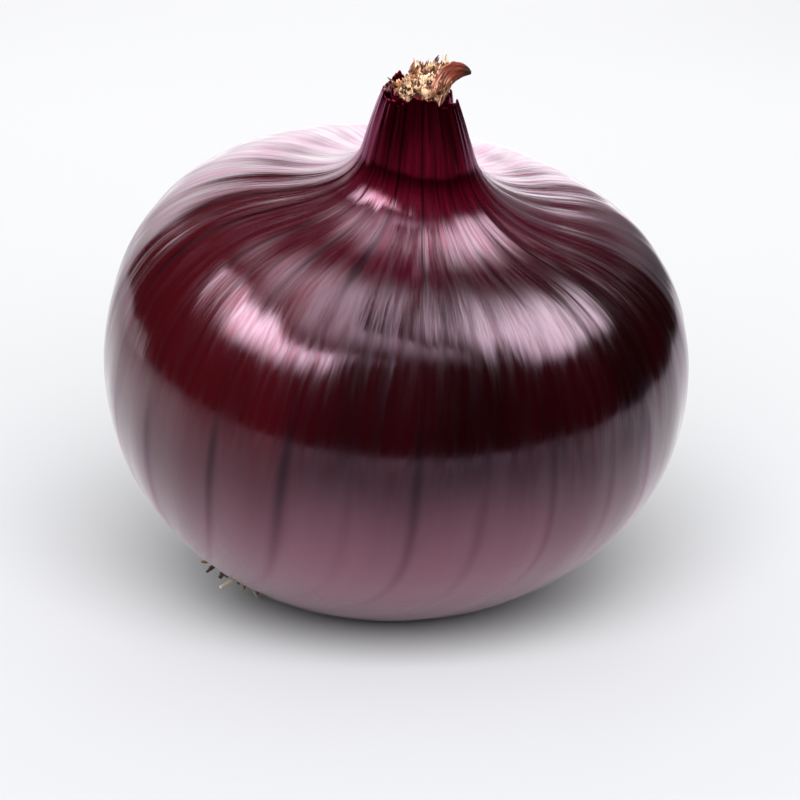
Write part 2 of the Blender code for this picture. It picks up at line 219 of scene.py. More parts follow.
SIDE_SHEET_STRENGTH = 1.4
FILL_STRENGTH = 1.0
KEY_PLACE = Vector((0.03, -0.47, 0.48))
KEY_SIZE = 0.6
KEY_POWER = 14.0
SKY_COLOUR = (0.95, 0.955, 0.965)
print(len(SOFT_BOXES), "soft boxes hang", LIGHT_HEIGHT, "m up")

# %% [markdown]
# Materials are built from nodes. These helpers add a node, a piece of arithmetic, a smooth ramp or a blend
# of two colours, so that each material reads as a short list of what it is made of.

# %% Helpers for materials
def new_material(name):
    """An empty material and its node tree."""
    material = bpy.data.materials.new(name)
    material.use_nodes = True
    tree = material.node_tree
    tree.nodes.clear()
    return material, tree


def node(tree, kind, **values):
    """Adds a node and sets its input sockets by name, with underscores for spaces."""
    made = tree.nodes.new(kind)
    for name, value in values.items():
        made.inputs[name.replace("_", " ")].default_value = value
    return made


def maths(tree, operation, first, second=None):
    """A Math node. Each input is a socket or a number. Returns its output socket."""
    made = tree.nodes.new("ShaderNodeMath")
    made.operation = operation
    for socket, value in zip(made.inputs, (first, second)):
        if isinstance(value, bpy.types.NodeSocket):
            tree.links.new(value, socket)
        elif value is not None:
            socket.default_value = value
    return made.outputs[0]


def ramp(tree, value, low, high, to_low=0.0, to_high=1.0):
    """Maps a socket smoothly from low..high to to_low..to_high."""
    made = tree.nodes.new("ShaderNodeMapRange")
    made.interpolation_type = "SMOOTHSTEP"
    made.inputs["From Min"].default_value = low
    made.inputs["From Max"].default_value = high
    made.inputs["To Min"].default_value = to_low
    made.inputs["To Max"].default_value = to_high
    tree.links.new(value, made.inputs["Value"])
    return made.outputs["Result"]


def blend_colours(tree, share, first, second):
    """A Mix node for colours. Each colour is a socket or three numbers."""
    made = tree.nodes.new("ShaderNodeMix")
    made.data_type = "RGBA"
    if isinstance(share, bpy.types.NodeSocket):
        tree.links.new(share, made.inputs[0])
    else:
        made.inputs[0].default_value = share
    for socket, value in ((made.inputs[6], first), (made.inputs[7], second)):
        if isinstance(value, bpy.types.NodeSocket):
            tree.links.new(value, socket)
        else:
            socket.default_value = (*value, 1.0)
    return made.outputs[2]


def split_object_place(tree):
    """The X, Y and Z of the object's own coordinates, as three sockets."""
    place = tree.nodes.new("ShaderNodeTexCoord")
    split = tree.nodes.new("ShaderNodeSeparateXYZ")
    tree.links.new(place.outputs["Object"], split.inputs[0])
    return split.outputs


def finish_surface(tree, shader):
    """Leads a shader to the material's surface."""
    output = tree.nodes.new("ShaderNodeOutputMaterial")
    tree.links.new(shader.outputs[0], output.inputs["Surface"])


print("helpers for materials are ready")


# %% [markdown]
# The floor is one sheet of white paper. Its colour grows lighter with distance, which is painted light.
# Reflections are given their own painted shades of it, darker in front of the onion and lighter behind, and
# none past its front and right limits.

# %% Floor
def stage_plane(name, corners, material):
    """A flat four-cornered sheet of the studio."""
    deselect()
    bpy.ops.mesh.primitive_plane_add(size=1.0)
    plane = bpy.context.object
    plane.name = name
    for vertex, corner in zip(plane.data.vertices, corners):
        vertex.co = corner
    plane.data.materials.append(material)
    return plane


def make_floor():
    """White paper, painted lighter with distance, that fades from reflections in front of the onion and at
    its right.
    """
    material, tree = new_material("floor_paper")
    x, y, z = split_object_place(tree)
    path = tree.nodes.new("ShaderNodeLightPath")
    paper = node(tree, "ShaderNodeBsdfDiffuse")
    # Painted light: the floor's colour grows lighter with distance, and reflections see their own painted
    # shades of it.
    seen_with_painted_light = blend_colours(tree, ramp(tree, y, *FLOOR_PAINTED_LIGHT_FADE), FLOOR_COLOUR, FAR_FLOOR_PAINTED_LIGHT)
    backwards = ramp(tree, y, *MIRRORED_PAINTED_LIGHT_FADE)
    painted_reflection_shades = blend_colours(tree, backwards, MIRRORED_FRONT_PAINTED_SHADE, MIRRORED_BACK_PAINTED_LIGHT)
    colour = blend_colours(tree, path.outputs["Is Glossy Ray"], seen_with_painted_light, painted_reflection_shades)
    tree.links.new(colour, paper.inputs["Color"])
    nothing = node(tree, "ShaderNodeBsdfDiffuse", Color=(0.0, 0.0, 0.0, 1.0))
    in_front = ramp(tree, y, FLOOR_FRONT, FLOOR_FRONT - FLOOR_FRONT_FADE)
    at_right = ramp(tree, x, FLOOR_RIGHT, FLOOR_RIGHT + FLOOR_RIGHT_FADE)
    far = maths(tree, "MAXIMUM", in_front, at_right)
    hidden = maths(tree, "MULTIPLY", far, path.outputs["Is Glossy Ray"])
    choose = tree.nodes.new("ShaderNodeMixShader")
    tree.links.new(hidden, choose.inputs[0])
    tree.links.new(paper.outputs[0], choose.inputs[1])
    tree.links.new(nothing.outputs[0], choose.inputs[2])
    finish_surface(tree, choose)
    half = FLOOR_SIZE / 2.0
    corners = [(side * half, end * half, 0.0) for end in (-1, 1) for side in (-1, 1)]
    stage_plane("floor", corners, material)


make_floor()
print("the floor is", FLOOR_SIZE, "m wide")


# %% [markdown]
# The lights are glowing sheets, because a sheet's shape is what a glossy skin mirrors. The camera sees none
# of them. The soft boxes light no matt surface either, so their strengths set the highlights alone.

# %% Lights
def glow_material(name, colour, strength_of):
    """A sheet that gives light. strength_of(tree) returns its strength, as a socket or a number."""
    material, tree = new_material(name)
    glow = node(tree, "ShaderNodeEmission", Color=(*colour, 1.0))
    strength = strength_of(tree)
    if isinstance(strength, bpy.types.NodeSocket):
        tree.links.new(strength, glow.inputs["Strength"])
    else:
        glow.inputs["Strength"].default_value = strength
    finish_surface(tree, glow)
    return material


def soft_box(name, x, y, half_length, half_width, turn, strength):
    """A glowing sheet overhead that fades towards all four edges, tilted a little to clear the others."""
    turned = Matrix.Rotation(math.radians(turn), 2)

    def fading(tree):
        across, along, up = split_object_place(tree)
        from_middle = (maths(tree, "SUBTRACT", across, x), maths(tree, "SUBTRACT", along, y))
        glow = strength
        for axis, half in ((turned.col[0], half_length), (turned.col[1], half_width)):
            off = maths(tree, "MULTIPLY", from_middle[0], axis.x)
            off = maths(tree, "ADD", off, maths(tree, "MULTIPLY", from_middle[1], axis.y))
            off = maths(tree, "ABSOLUTE", off)
            share = ramp(tree, off, SOFT_BOX_FULL_SHARE * half, half, 1.0, 0.0)
            glow = maths(tree, "MULTIPLY", share, glow)
        return glow

    corners = []
    for side, end in ((-1, -1), (1, -1), (-1, 1), (1, 1)):
        step_out = turned @ Vector((side * half_length, end * half_width))
        corners.append((x + step_out.x, y + step_out.y, LIGHT_HEIGHT + SOFT_BOX_TILT * side))
    box = stage_plane(name, corners, glow_material(name, WHITE, fading))
    box.visible_camera = False
    box.visible_diffuse = False
    box.visible_shadow = False
    return box


def backdrop_strength(tree):
    """The sheet behind: brighter to the right, where it ends, and weaker near the floor and at its top."""
    x, y, z = split_object_place(tree)
    glow = ramp(tree, x, *BACKDROP_RISE, *BACKDROP_STRENGTHS)
    end_start = BACKDROP_BRIGHT_UP_TO - BACKDROP_END_FADE
    end_stop = BACKDROP_BRIGHT_UP_TO + BACKDROP_END_FADE
    past_end = ramp(tree, x, end_start, end_stop, 1.0, BACKDROP_PAST_END)
    near_floor = ramp(tree, z, *BACKDROP_FOOT, BACKDROP_FOOT_SHARE, 1.0)
    near_top = ramp(tree, z, *BACKDROP_TOP, 1.0, BACKDROP_TOP_SHARE)
    for share in (past_end, near_floor, near_top):
        glow = maths(tree, "MULTIPLY", glow, share)
    return glow


def upright_sheet(name, start, end, heights, material):
    """A sheet that stands on the floor between two places, unseen by the camera."""
    corners = [(*start, 0.0), (*end, 0.0), (*start, heights[0]), (*end, heights[1])]
    sheet = stage_plane(name, corners, material)
    sheet.visible_camera = False
    return sheet


def make_key_light():
    facing = KEY_PLACE.to_track_quat("Z", "Y").to_euler()
    bpy.ops.object.light_add(type="AREA", location=KEY_PLACE, rotation=facing)
    key = bpy.context.object
    key.name = "key_light"
    key.data.size = KEY_SIZE
    key.data.energy = KEY_POWER
    key.visible_glossy = False


def make_sheets():
    """The white sheet behind and the low one at the left."""
    left, right = BACKDROP_SIDES
    upright_sheet(
        "white_backdrop", (left, BACKDROP_DISTANCE), (right, BACKDROP_DISTANCE), BACKDROP_HEIGHTS,
        glow_material("backdrop_glow", BACKDROP_COLOUR, backdrop_strength),
    )
    upright_sheet(
        "low_sheet_at_left", (SIDE_SHEET_PLACE, SIDE_SHEET_START), (SIDE_SHEET_PLACE, BACKDROP_DISTANCE),
        (SIDE_SHEET_HEIGHT, SIDE_SHEET_HEIGHT),
        glow_material("side_glow", BACKDROP_COLOUR, lambda tree: SIDE_SHEET_STRENGTH),
    )


def make_world():
    """Pale for the camera, a soft fill for matt surfaces, and nothing for the gloss to mirror."""
    world = bpy.data.worlds.new("studio")
    bpy.context.scene.world = world
    world.use_nodes = True
    world.cycles_visibility.glossy = False
    tree = world.node_tree
    tree.nodes.clear()
    path = tree.nodes.new("ShaderNodeLightPath")
    pale = node(tree, "ShaderNodeBackground", Color=(*SKY_COLOUR, 1.0), Strength=1.0)
    fill = node(tree, "ShaderNodeBackground", Color=(*WHITE, 1.0), Strength=FILL_STRENGTH)
    choose = tree.nodes.new("ShaderNodeMixShader")
    output = tree.nodes.new("ShaderNodeOutputWorld")
    tree.links.new(path.outputs["Is Camera Ray"], choose.inputs[0])
    tree.links.new(fill.outputs[0], choose.inputs[1])
    tree.links.new(pale.outputs[0], choose.inputs[2])
    tree.links.new(choose.outputs[0], output.inputs["Surface"])


for values in SOFT_BOXES:
    soft_box(*values)
make_key_light()
make_sheets()
make_world()
print("lights: soft boxes, a key light, a sheet behind and a low one at the left")


# %% [markdown]
# The bulb is round, so its skin starts as one outline that is spun round an upright axis.
# The outline is drawn as curves: the cup of the neck, its two torn rims, the neck, the flare, the belly
# and the underside. A spun shape is too regular for a grown thing, so the next step shifts and lifts it.

# %% Sizes of the outline
def step(x, y):
    """A step outwards and upwards in the plane of the outline, given in millimetres."""
    return Vector((x, y)) * MM


BULB_RADIUS = 40.0 * MM
BULB_DEPTH = 33.7 * MM
BELLY_FULLNESS = 21.7 * MM
SHOULDER = step(19.0, 23.1)
THROAT = step(7.6, 30.6)
SKIN_EDGE = step(5.1, 38.6)
INNER_RIM = step(4.3, 39.6)
CUP_FLOOR = step(3.7, 37.0)
# The handles of the curves, from the point that each is named after.
OUTSIDE_SHOULDER = step(5.3, -0.8)
INSIDE_SHOULDER = step(-5.6, 0.85)
BELOW_THROAT = step(1.2, -4.6)
ABOVE_THROAT = step(-0.65, 2.5)
BELOW_SKIN_EDGE = step(1.0, -2.6)
GROOVE = SKIN_EDGE + step(-0.45, -1.4)
EDGE_INSIDE = step(-0.3, 0.0)
EDGE_INSIDE_HANDLE = step(-0.25, 0.15)
EDGE_OUTSIDE_HANDLE = step(-0.02, 0.15)
RIM_INSIDE = step(-0.3, 0.0)
RIM_INSIDE_HANDLE = step(-0.25, 0.2)
RIM_OUTSIDE_HANDLE = step(0.0, 0.15)
RIM_OUTSIDE = step(0.05, -0.15)
ROOT_RADIUS = 5.2 * MM
ROOT_ANGLE = math.acos(ROOT_RADIUS / BULB_RADIUS)
# How many edges each stretch of the outline has.
CUP_CUTS = 4
INNER_RIM_CUTS = 3
GROOVE_CUTS = 4
EDGE_WALL_CUTS = 3
EDGE_CUTS = 2
NECK_CUTS = 16
FLARE_CUTS = 22
BELLY_CUTS = 36
UNDERSIDE_CUTS = 44
SEGMENTS = 702
MERGE_DISTANCE = 0.001 * MM
print("the bulb is", 2.0 * BULB_RADIUS / MM, "mm wide before it is laid down")


# %% Draw the outline
def draw_stretch(start, leave, arrive, end, cuts):
    """One smooth stretch of the outline, as a chain of edges in the XZ plane."""
    deselect()
    bpy.ops.curve.primitive_bezier_curve_add(location=(0.0, 0.0, 0.0))
    curve = bpy.context.object
    curve.data.resolution_u = cuts
    first, last = curve.data.splines[0].bezier_points
    for point in (first, last):
        point.handle_left_type = "FREE"
        point.handle_right_type = "FREE"
    for point, place, before, after in ((first, start, start, leave), (last, end, arrive, end)):
        point.co = (place.x, 0.0, place.y)
        point.handle_left = (before.x, 0.0, before.y)
        point.handle_right = (after.x, 0.0, after.y)
    bpy.ops.object.convert(target="MESH")
    return bpy.context.object


def straight(start, end, cuts):
    third = (end - start) / 3.0
    return draw_stretch(start, start + third, end - third, end, cuts)


def draw_outline():
    widest = Vector((BULB_RADIUS, 0.0))
    root_edge = Vector((ROOT_RADIUS, -BULB_DEPTH * math.sin(ROOT_ANGLE)))
    handle = 4.0 / 3.0 * math.tan(ROOT_ANGLE / 4.0)
    inward = Vector((-math.sin(ROOT_ANGLE) * BULB_RADIUS, -math.cos(ROOT_ANGLE) * BULB_DEPTH))
    rim_start, rim_end = INNER_RIM + RIM_INSIDE, INNER_RIM + RIM_OUTSIDE
    edge_start = SKIN_EDGE + EDGE_INSIDE
    stretches = [
        straight(CUP_FLOOR, rim_start, CUP_CUTS),
        draw_stretch(
            rim_start, INNER_RIM + RIM_INSIDE_HANDLE,
            INNER_RIM + RIM_OUTSIDE_HANDLE, rim_end, INNER_RIM_CUTS,
        ),
        straight(rim_end, GROOVE, GROOVE_CUTS),
        straight(GROOVE, edge_start, EDGE_WALL_CUTS),
        draw_stretch(
            edge_start, SKIN_EDGE + EDGE_INSIDE_HANDLE,
            SKIN_EDGE + EDGE_OUTSIDE_HANDLE, SKIN_EDGE, EDGE_CUTS,
        ),
        draw_stretch(SKIN_EDGE, SKIN_EDGE + BELOW_SKIN_EDGE, THROAT + ABOVE_THROAT, THROAT, NECK_CUTS),
        draw_stretch(THROAT, THROAT + BELOW_THROAT, SHOULDER + INSIDE_SHOULDER, SHOULDER, FLARE_CUTS),
        draw_stretch(
            SHOULDER, SHOULDER + OUTSIDE_SHOULDER,
            Vector((BULB_RADIUS, BELLY_FULLNESS)), widest, BELLY_CUTS,
        ),
        draw_stretch(
            widest, widest + Vector((0.0, -handle * BULB_DEPTH)),
            root_edge - handle * inward, root_edge, UNDERSIDE_CUTS,
        ),
    ]
    outline = join("red_skin", stretches)
    edit(outline)
    bpy.ops.mesh.remove_doubles(threshold=MERGE_DISTANCE)
    leave_edit()
    return outline


skin = draw_outline()
print("the outline has", len(skin.data.vertices), "points")

# %% [markdown]
# Spin turns the outline into a surface. Its last ring is merged with its first, and the normals are
# recalculated because a spin can turn a shape inside out.

# %% Spin the outline
edit(skin)
bpy.ops.mesh.spin(steps=SEGMENTS, angle=2.0 * math.pi, center=(0.0, 0.0, 0.0), axis=(0.0, 0.0, 1.0))
bpy.ops.mesh.select_all(action="SELECT")
bpy.ops.mesh.remove_doubles(threshold=MERGE_DISTANCE)
bpy.ops.mesh.normals_make_consistent(inside=False)
leave_edit()
print("spun:", len(skin.data.vertices), "points,", len(skin.data.polygons), "faces")

# %% [markdown]
# A real onion grew to one side. Its neck is set back and stands upright, its left shoulder is fuller,
# and its roots have moved round the underside. Each of these is a rule that moves every point of the spun
# skin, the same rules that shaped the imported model, so the two surfaces agree.

# %% Growth: from the spun shape to the grown one
NECK_SET_BACK = 3.1 * MM
NECK_UPRIGHT_ABOVE = 24.7 * MM
LEAN_TO_RIGHT = math.radians(7.2)
TIP_TO_FRONT = math.radians(14.3)
SWELL_TO_LEFT = 0.7 * MM
SWELL_WIDTH = 12.0 * MM
EDGE_DROP_TO_RIGHT = 1.4 * MM
RAGGEDNESS = 0.35 * MM
# The waves of a torn edge: how many go round, their shift and their share.
RIM_WAVES = ((5.0, 1.0, 1.0), (11.0, 2.0, 0.7), (23.0, 0.5, 0.35), (41.0, 0.0, 0.25))
SKIN_EDGE_TURN = 1.3
INSIDE_THE_EDGE = SKIN_EDGE.x - 0.4 * MM
CUP_SLACK = 1.0 * MM
FRONT_RIM_RISE = 2.0 * MM
FRONT_RIM_BEARING = math.radians(35.0)
UNDERSIDE_POWER = 1.04
ROOT_SIDE_STEP = -3.5 * MM
ROOT_SHIFT = math.radians(28.0)
ROOT_SHIFT_BEARING = math.radians(125.0)
RESTING_CUT = 0.9 * MM
ANGLE_SLACK = 1e-4
LEAST_SPREAD = 1e-6


def ragged(around):
    """A torn edge: how far it stands above or below its height at an angle round the neck."""
    return RAGGEDNESS * sum(share * np.sin(waves * around + shift) for waves, shift, share in RIM_WAVES)


def grow_upper(radius, height, around):
    upright = math.tan(LEAN_TO_RIGHT) * np.maximum(height - NECK_UPRIGHT_ABOVE, 0.0)
    set_back = NECK_SET_BACK * np.clip(height / SHOULDER.y, 0.0, 1.0) ** 2
    from_shoulder = (radius - SHOULDER.x) / SWELL_WIDTH
    swell = SWELL_TO_LEFT * np.sin(around) * np.exp(-(from_shoulder**2))
    up_neck = np.clip((height - THROAT.y) / (SKIN_EDGE.y - THROAT.y), 0.0, 1.0)
    drop = EDGE_DROP_TO_RIGHT * np.maximum(np.sin(around), 0.0) - ragged(around + SKIN_EDGE_TURN)
    drop = drop - FRONT_RIM_RISE * np.maximum(np.cos(around - FRONT_RIM_BEARING), 0.0)
    is_inner = (radius < INSIDE_THE_EDGE) & (height > CUP_FLOOR.y - CUP_SLACK)
    lift = np.where(is_inner, ragged(around) * (height > CUP_FLOOR.y + CUP_SLACK), -drop * up_neck)
    x = radius * np.sin(around) - upright
    y = set_back - radius * np.cos(around)
    return np.stack([x, y, height - swell + lift], 1)


def grow_underside(height, around):
    angle = np.arcsin(np.clip(-height / BULB_DEPTH, 0.0, 1.0))
    below = angle / (math.pi / 2.0)
    flat = np.cos(angle)
    way = np.stack([flat * np.sin(around), -flat * np.cos(around), -np.sin(angle)], 1)
    axis = np.array([math.cos(ROOT_SHIFT_BEARING), math.sin(ROOT_SHIFT_BEARING), 0.0])
    turn = (ROOT_SHIFT * below * below * (3.0 - 2.0 * below))[:, None]
    along = (way @ axis)[:, None]
    way = way * np.cos(turn) + np.cross(axis, way) * np.sin(turn) + axis * along * (1.0 - np.cos(turn))
    spread = np.maximum(np.hypot(way[:, 0], way[:, 1]), LEAST_SPREAD)
    radius = BULB_RADIUS * spread ** (UNDERSIDE_POWER - 1.0)
    x = radius * way[:, 0] + ROOT_SIDE_STEP * way[:, 2] ** 2
    return np.stack([x, radius * way[:, 1], BULB_DEPTH * way[:, 2]], 1)


def outline_length(heights, radii):
    """The length along the outline from the skin's edge down to each height."""
    order = np.argsort(-heights)
    heights, radii = heights[order], radii[order]
    steps = np.hypot(np.diff(heights), np.diff(radii))
    return heights, np.concatenate([[0.0], np.cumsum(steps)])


spun = points_of(skin)
radius = np.hypot(spun[:, 0], spun[:, 1])
height = spun[:, 2]
around = np.arctan2(spun[:, 0], -spun[:, 1])
first_line = np.abs(around - around[0]) < ANGLE_SLACK
on_line = first_line & ((radius > SKIN_EDGE.x - MERGE_DISTANCE) | (height < 0.0))
line_heights, line_lengths = outline_length(height[on_line], radius[on_line])
length = np.interp(-height, -line_heights, line_lengths)
upper_skin = grow_upper(radius, height, around)
grown = np.where((height >= 0.0)[:, None], upper_skin, grow_underside(height, around))
set_points(skin, grown)
print("from the skin's edge to the roots it is", round(line_lengths[-1] / MM), "mm along the outline")

# %% [markdown]
# The skin is not smooth. Broad veins run from the neck to the roots, and between them lie fine ribs,
# about 1.5 mm apart at the belly, that come together at both ends. Each is a rule that says how far a point
# moves along the surface's own normal, so they catch the light as real relief.

# %% Veins and ribs
VEINS = 26
FRONT_VEINS = (-52.0, -35.0, -20.0, -8.0, 4.0, 17.0, 31.0, 46.0)
FRONT_VEIN_WEIGHTS = (0.7, 0.9, 1.0, 0.3, 0.9, 0.6, 0.8, 0.6)
OTHER_VEIN_WEIGHTS = (0.35, 1.0)
OTHER_VEIN_SCATTER = 3.0
VEIN_WANDER = math.radians(1.3)
VEIN_WANDER_ROWS = 6
RELIEF_DRAW = 5
VEIN_SWELL = 0.05 * MM
VEIN_RIDGE = 0.025 * MM
VEIN_WIDTH = 0.8
RIB_HEIGHT = 0.017 * MM
RIBS = 175
RIB_ROWS = 16
RIB_SHARE_BELOW = 0.2
RIB_FADE = (-3.0 * MM, 15.0 * MM)
FOLD_HEIGHT = 0.09 * MM
FOLD_FULL_RADIUS = 4.5 * MM
FOLD_ROWS = 4
NECK_FOLDS = 31


def smooth_table(table, across, along):
    """Reads a table of random numbers smoothly, closed round its first axis."""
    rows, columns = table.shape
    across = across % columns
    left = np.floor(across).astype(int) % columns
    low = np.clip(np.floor(along).astype(int), 0, rows - 2)
    fx = across - np.floor(across)
    fy = np.clip(along - low, 0.0, 1.0)
    fx = fx * fx * (3.0 - 2.0 * fx)
    fy = fy * fy * (3.0 - 2.0 * fy)
    right = (left + 1) % columns
    lower = table[low, left] * (1.0 - fx) + table[low, right] * fx
    upper = table[low + 1, left] * (1.0 - fx) + table[low + 1, right] * fx
    return lower * (1.0 - fy) + upper * fy


def smooth_share(value, low, high):
    """0 below low, 1 above high, and a smooth rise between them."""
    share = np.clip((value - low) / (high - low), 0.0, 1.0)
    return share * share * (3.0 - 2.0 * share)


def vein_mask():
    """1 on the middle line of each vein, fading to both sides. The veins waver a little on their way."""
    wander_table = draw.uniform(-1.0, 1.0, (VEIN_WANDER_ROWS, VEINS))
    wander = smooth_table(wander_table, turns * VEINS, down * (VEIN_WANDER_ROWS - 1))
    bearing = around + VEIN_WANDER * wander
    mask = np.zeros(len(around))
    for place, weight in zip(vein_bearings, vein_weight):
        off = (bearing - place + math.pi) % (2.0 * math.pi) - math.pi
        off_mm = off * BULB_RADIUS / MM
        mask = np.maximum(mask, weight * np.exp(-((off_mm / VEIN_WIDTH) ** 2)))
    return mask


turns = around / (2.0 * math.pi)
down = length / line_lengths[-1]
upper_share = smooth_share(height, *RIB_FADE)
neck_share = np.clip((height - SHOULDER.y) / (THROAT.y - SHOULDER.y), 0.0, 1.0)
draw = np.random.RandomState(RELIEF_DRAW)
rib_table = draw.uniform(-1.0, 1.0, (RIB_ROWS, RIBS))
fold_table = draw.uniform(-1.0, 1.0, (FOLD_ROWS, NECK_FOLDS))
hidden = VEINS - len(FRONT_VEINS)
others = np.linspace(FRONT_VEINS[-1], FRONT_VEINS[0] + 360.0, hidden + 2)[1:-1]
others = others + draw.uniform(-OTHER_VEIN_SCATTER, OTHER_VEIN_SCATTER, hidden)
vein_bearings = np.radians(np.concatenate([FRONT_VEINS, others]))
vein_weight = draw.uniform(*OTHER_VEIN_WEIGHTS, VEINS)
vein_weight[: len(FRONT_VEINS)] = FRONT_VEIN_WEIGHTS

# %% Raise them on the skin
rib_strength = RIB_SHARE_BELOW + (1.0 - RIB_SHARE_BELOW) * upper_share
ribs = RIB_HEIGHT * smooth_table(rib_table, turns * RIBS, down * (RIB_ROWS - 1)) * rib_strength
folds = FOLD_HEIGHT * neck_share * smooth_table(fold_table, turns * NECK_FOLDS, down * (FOLD_ROWS - 1))
folds = folds * np.clip(radius / FOLD_FULL_RADIUS, 0.0, 1.0)
shown = np.sqrt(np.clip(radius / BULB_RADIUS, 0.0, 1.0))
vein = vein_mask()
swell = VEIN_SWELL * shown * np.cos(VEINS * around)
relief = swell + VEIN_RIDGE * shown * vein + ribs * shown + folds
set_points(skin, grown + normals_of(skin) * relief[:, None])
girth = BULB_RADIUS / MM
add_attribute(skin, "meridian", np.stack([girth * np.sin(around), girth * np.cos(around), length / MM], 1))
add_attribute(skin, "marks", np.stack([vein, upper_share, neck_share], 1))
print("relief from", round(relief.min() / MM, 2), "to", round(relief.max() / MM, 2), "mm")

# %% [markdown]
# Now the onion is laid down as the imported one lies: tipped to the front, leaning to the right, and moved
# so that its box fits. Its lowest part is cut off flat, which is the small spot that it rests on.
# The ring at the roots is closed with a shallow recess, and the cup of the neck with a floor.

# %% Where it lies, and its two open rings
LYING = Euler((TIP_TO_FRONT, LEAN_TO_RIGHT, 0.0), "XYZ").to_matrix()


def world_place(points, centre):
    """From the bulb's own axes to where it lies."""
    return np.asarray(points) @ np.array(LYING).T + np.array(centre)


def centre_to_fit(points):
    """Where the bulb's centre has to be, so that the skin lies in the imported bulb's box."""
    turned = world_place(points, (0.0, 0.0, 0.0))
    low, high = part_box("bulb")
    middle = (turned.min(0) + turned.max(0)) / 2.0
    return Vector((
        (low[0] + high[0]) / 2.0 - middle[0],
        (low[1] + high[1]) / 2.0 - middle[1],
        -turned[:, 2].min() - RESTING_CUT,
    ))


def open_rings(thing):
    """The open edges of a mesh, as two sets of vertices: the upper ring and the lower one."""
    count = {}
    for face in thing.data.polygons:
        for key in face.edge_keys:
            count[key] = count.get(key, 0) + 1
    rim = {vertex for key, uses in count.items() if uses == 1 for vertex in key}
    top = {vertex for vertex in rim if thing.data.vertices[vertex].co.z > 0.0}
    return top, rim - top


def select_ring(thing, ring):
    edit(thing)
    bpy.ops.mesh.select_all(action="DESELECT")
    leave_edit()
    for vertex in ring:
        thing.data.vertices[vertex].select = True
    bpy.ops.object.mode_set(mode="EDIT")


def outward_from(points):
    """The direction square to a ring of points, on its lower side."""
    spokes = points - points.mean(0)
    out = Vector(np.cross(spokes[0], spokes[len(spokes) // 4])).normalized()
    return out if out.z <= 0.0 else -out


cup_ring, root_ring = open_rings(skin)
root_points = points_of(skin)[sorted(root_ring)]
root_middle = Vector(root_points.mean(0))
root_out = outward_from(root_points)
print("open rings of", len(cup_ring), "and", len(root_ring), "points")

# %% Close the rings, lay the onion down and cut its resting spot
RECESS_DEPTH = 1.1 * MM
RECESS_TAPER = 0.96
CUT_TOLERANCE = 1e-7
select_ring(skin, root_ring)
bpy.ops.mesh.extrude_region_move(TRANSFORM_OT_translate={"value": -root_out * RECESS_DEPTH})
bpy.ops.transform.resize(value=(RECESS_TAPER,) * 3, center_override=root_middle - root_out * RECESS_DEPTH)
bpy.ops.mesh.edge_face_add()
leave_edit()
select_ring(skin, cup_ring)
bpy.ops.mesh.edge_face_add()
leave_edit()
centre = centre_to_fit(points_of(skin))
set_points(skin, world_place(points_of(skin), centre))
edit(skin)
bpy.ops.mesh.bisect(
    plane_co=(0.0, 0.0, 0.0), plane_no=(0.0, 0.0, 1.0),
    use_fill=True, clear_inner=True, threshold=CUT_TOLERANCE,
)
bpy.ops.mesh.select_all(action="SELECT")
bpy.ops.mesh.normals_make_consistent(inside=False)
leave_edit()
print("the bulb's centre is at", [round(value / MM, 2) for value in centre], "mm")


# %% [markdown]
# A dry onion skin is a thin, tough sheet, wine red to nearly black, redder at the neck and paler
# towards the roots, where painted light on the underside adds to its paleness. Its gloss comes in lengthwise
# streaks. Both follow the meridians, so the materials read the attribute that the skin carries: two numbers
# that go once round, without a seam, and the length down.
# The stretched grain is a node group, because the colour, the gloss and the bump all use it.

# %% Lengthwise grain, as a node group
def make_grain_group():
    """Noise stretched along the meridians. Across and Along are its sizes in mm at the belly."""
    group = bpy.data.node_groups.new("lengthwise_grain", "ShaderNodeTree")
    for name, value in (("Across", 1.0), ("Along", 20.0), ("Offset", 0.0), ("Detail", 2.0)):
        socket = group.interface.new_socket(name, in_out="INPUT", socket_type="NodeSocketFloat")
        socket.default_value = value
    group.interface.new_socket("Value", in_out="OUTPUT", socket_type="NodeSocketFloat")
    start = group.nodes.new("NodeGroupInput")
    end = group.nodes.new("NodeGroupOutput")
    place = group.nodes.new("ShaderNodeAttribute")
    place.attribute_name = "meridian"
    split = group.nodes.new("ShaderNodeSeparateXYZ")
    group.links.new(place.outputs["Vector"], split.inputs[0])
    east = maths(group, "DIVIDE", split.outputs[0], start.outputs["Across"])
    north = maths(group, "DIVIDE", split.outputs[1], start.outputs["Across"])
    along = maths(group, "DIVIDE", split.outputs[2], start.outputs["Along"])
    shifted = maths(group, "ADD", along, start.outputs["Offset"])
    joined = group.nodes.new("ShaderNodeCombineXYZ")
    for socket, value in zip(joined.inputs, (east, north, shifted)):
        group.links.new(value, socket)
    grain = node(group, "ShaderNodeTexNoise", Scale=1.0, Roughness=0.55)
    group.links.new(joined.outputs[0], grain.inputs["Vector"])
    group.links.new(start.outputs["Detail"], grain.inputs["Detail"])
    group.links.new(grain.outputs["Fac"], end.inputs["Value"])
    return group


GRAIN = make_grain_group()


def grain(tree, across, along, offset, detail=2.0):
    """A grain of the given sizes in mm at the belly, placed in a material."""
    made = tree.nodes.new("ShaderNodeGroup")
    made.node_tree = GRAIN
    made.inputs["Across"].default_value = across
    made.inputs["Along"].default_value = along
    made.inputs["Offset"].default_value = offset
    made.inputs["Detail"].default_value = detail
    return made.outputs["Value"]


print("grain group:", len(GRAIN.nodes), "nodes")

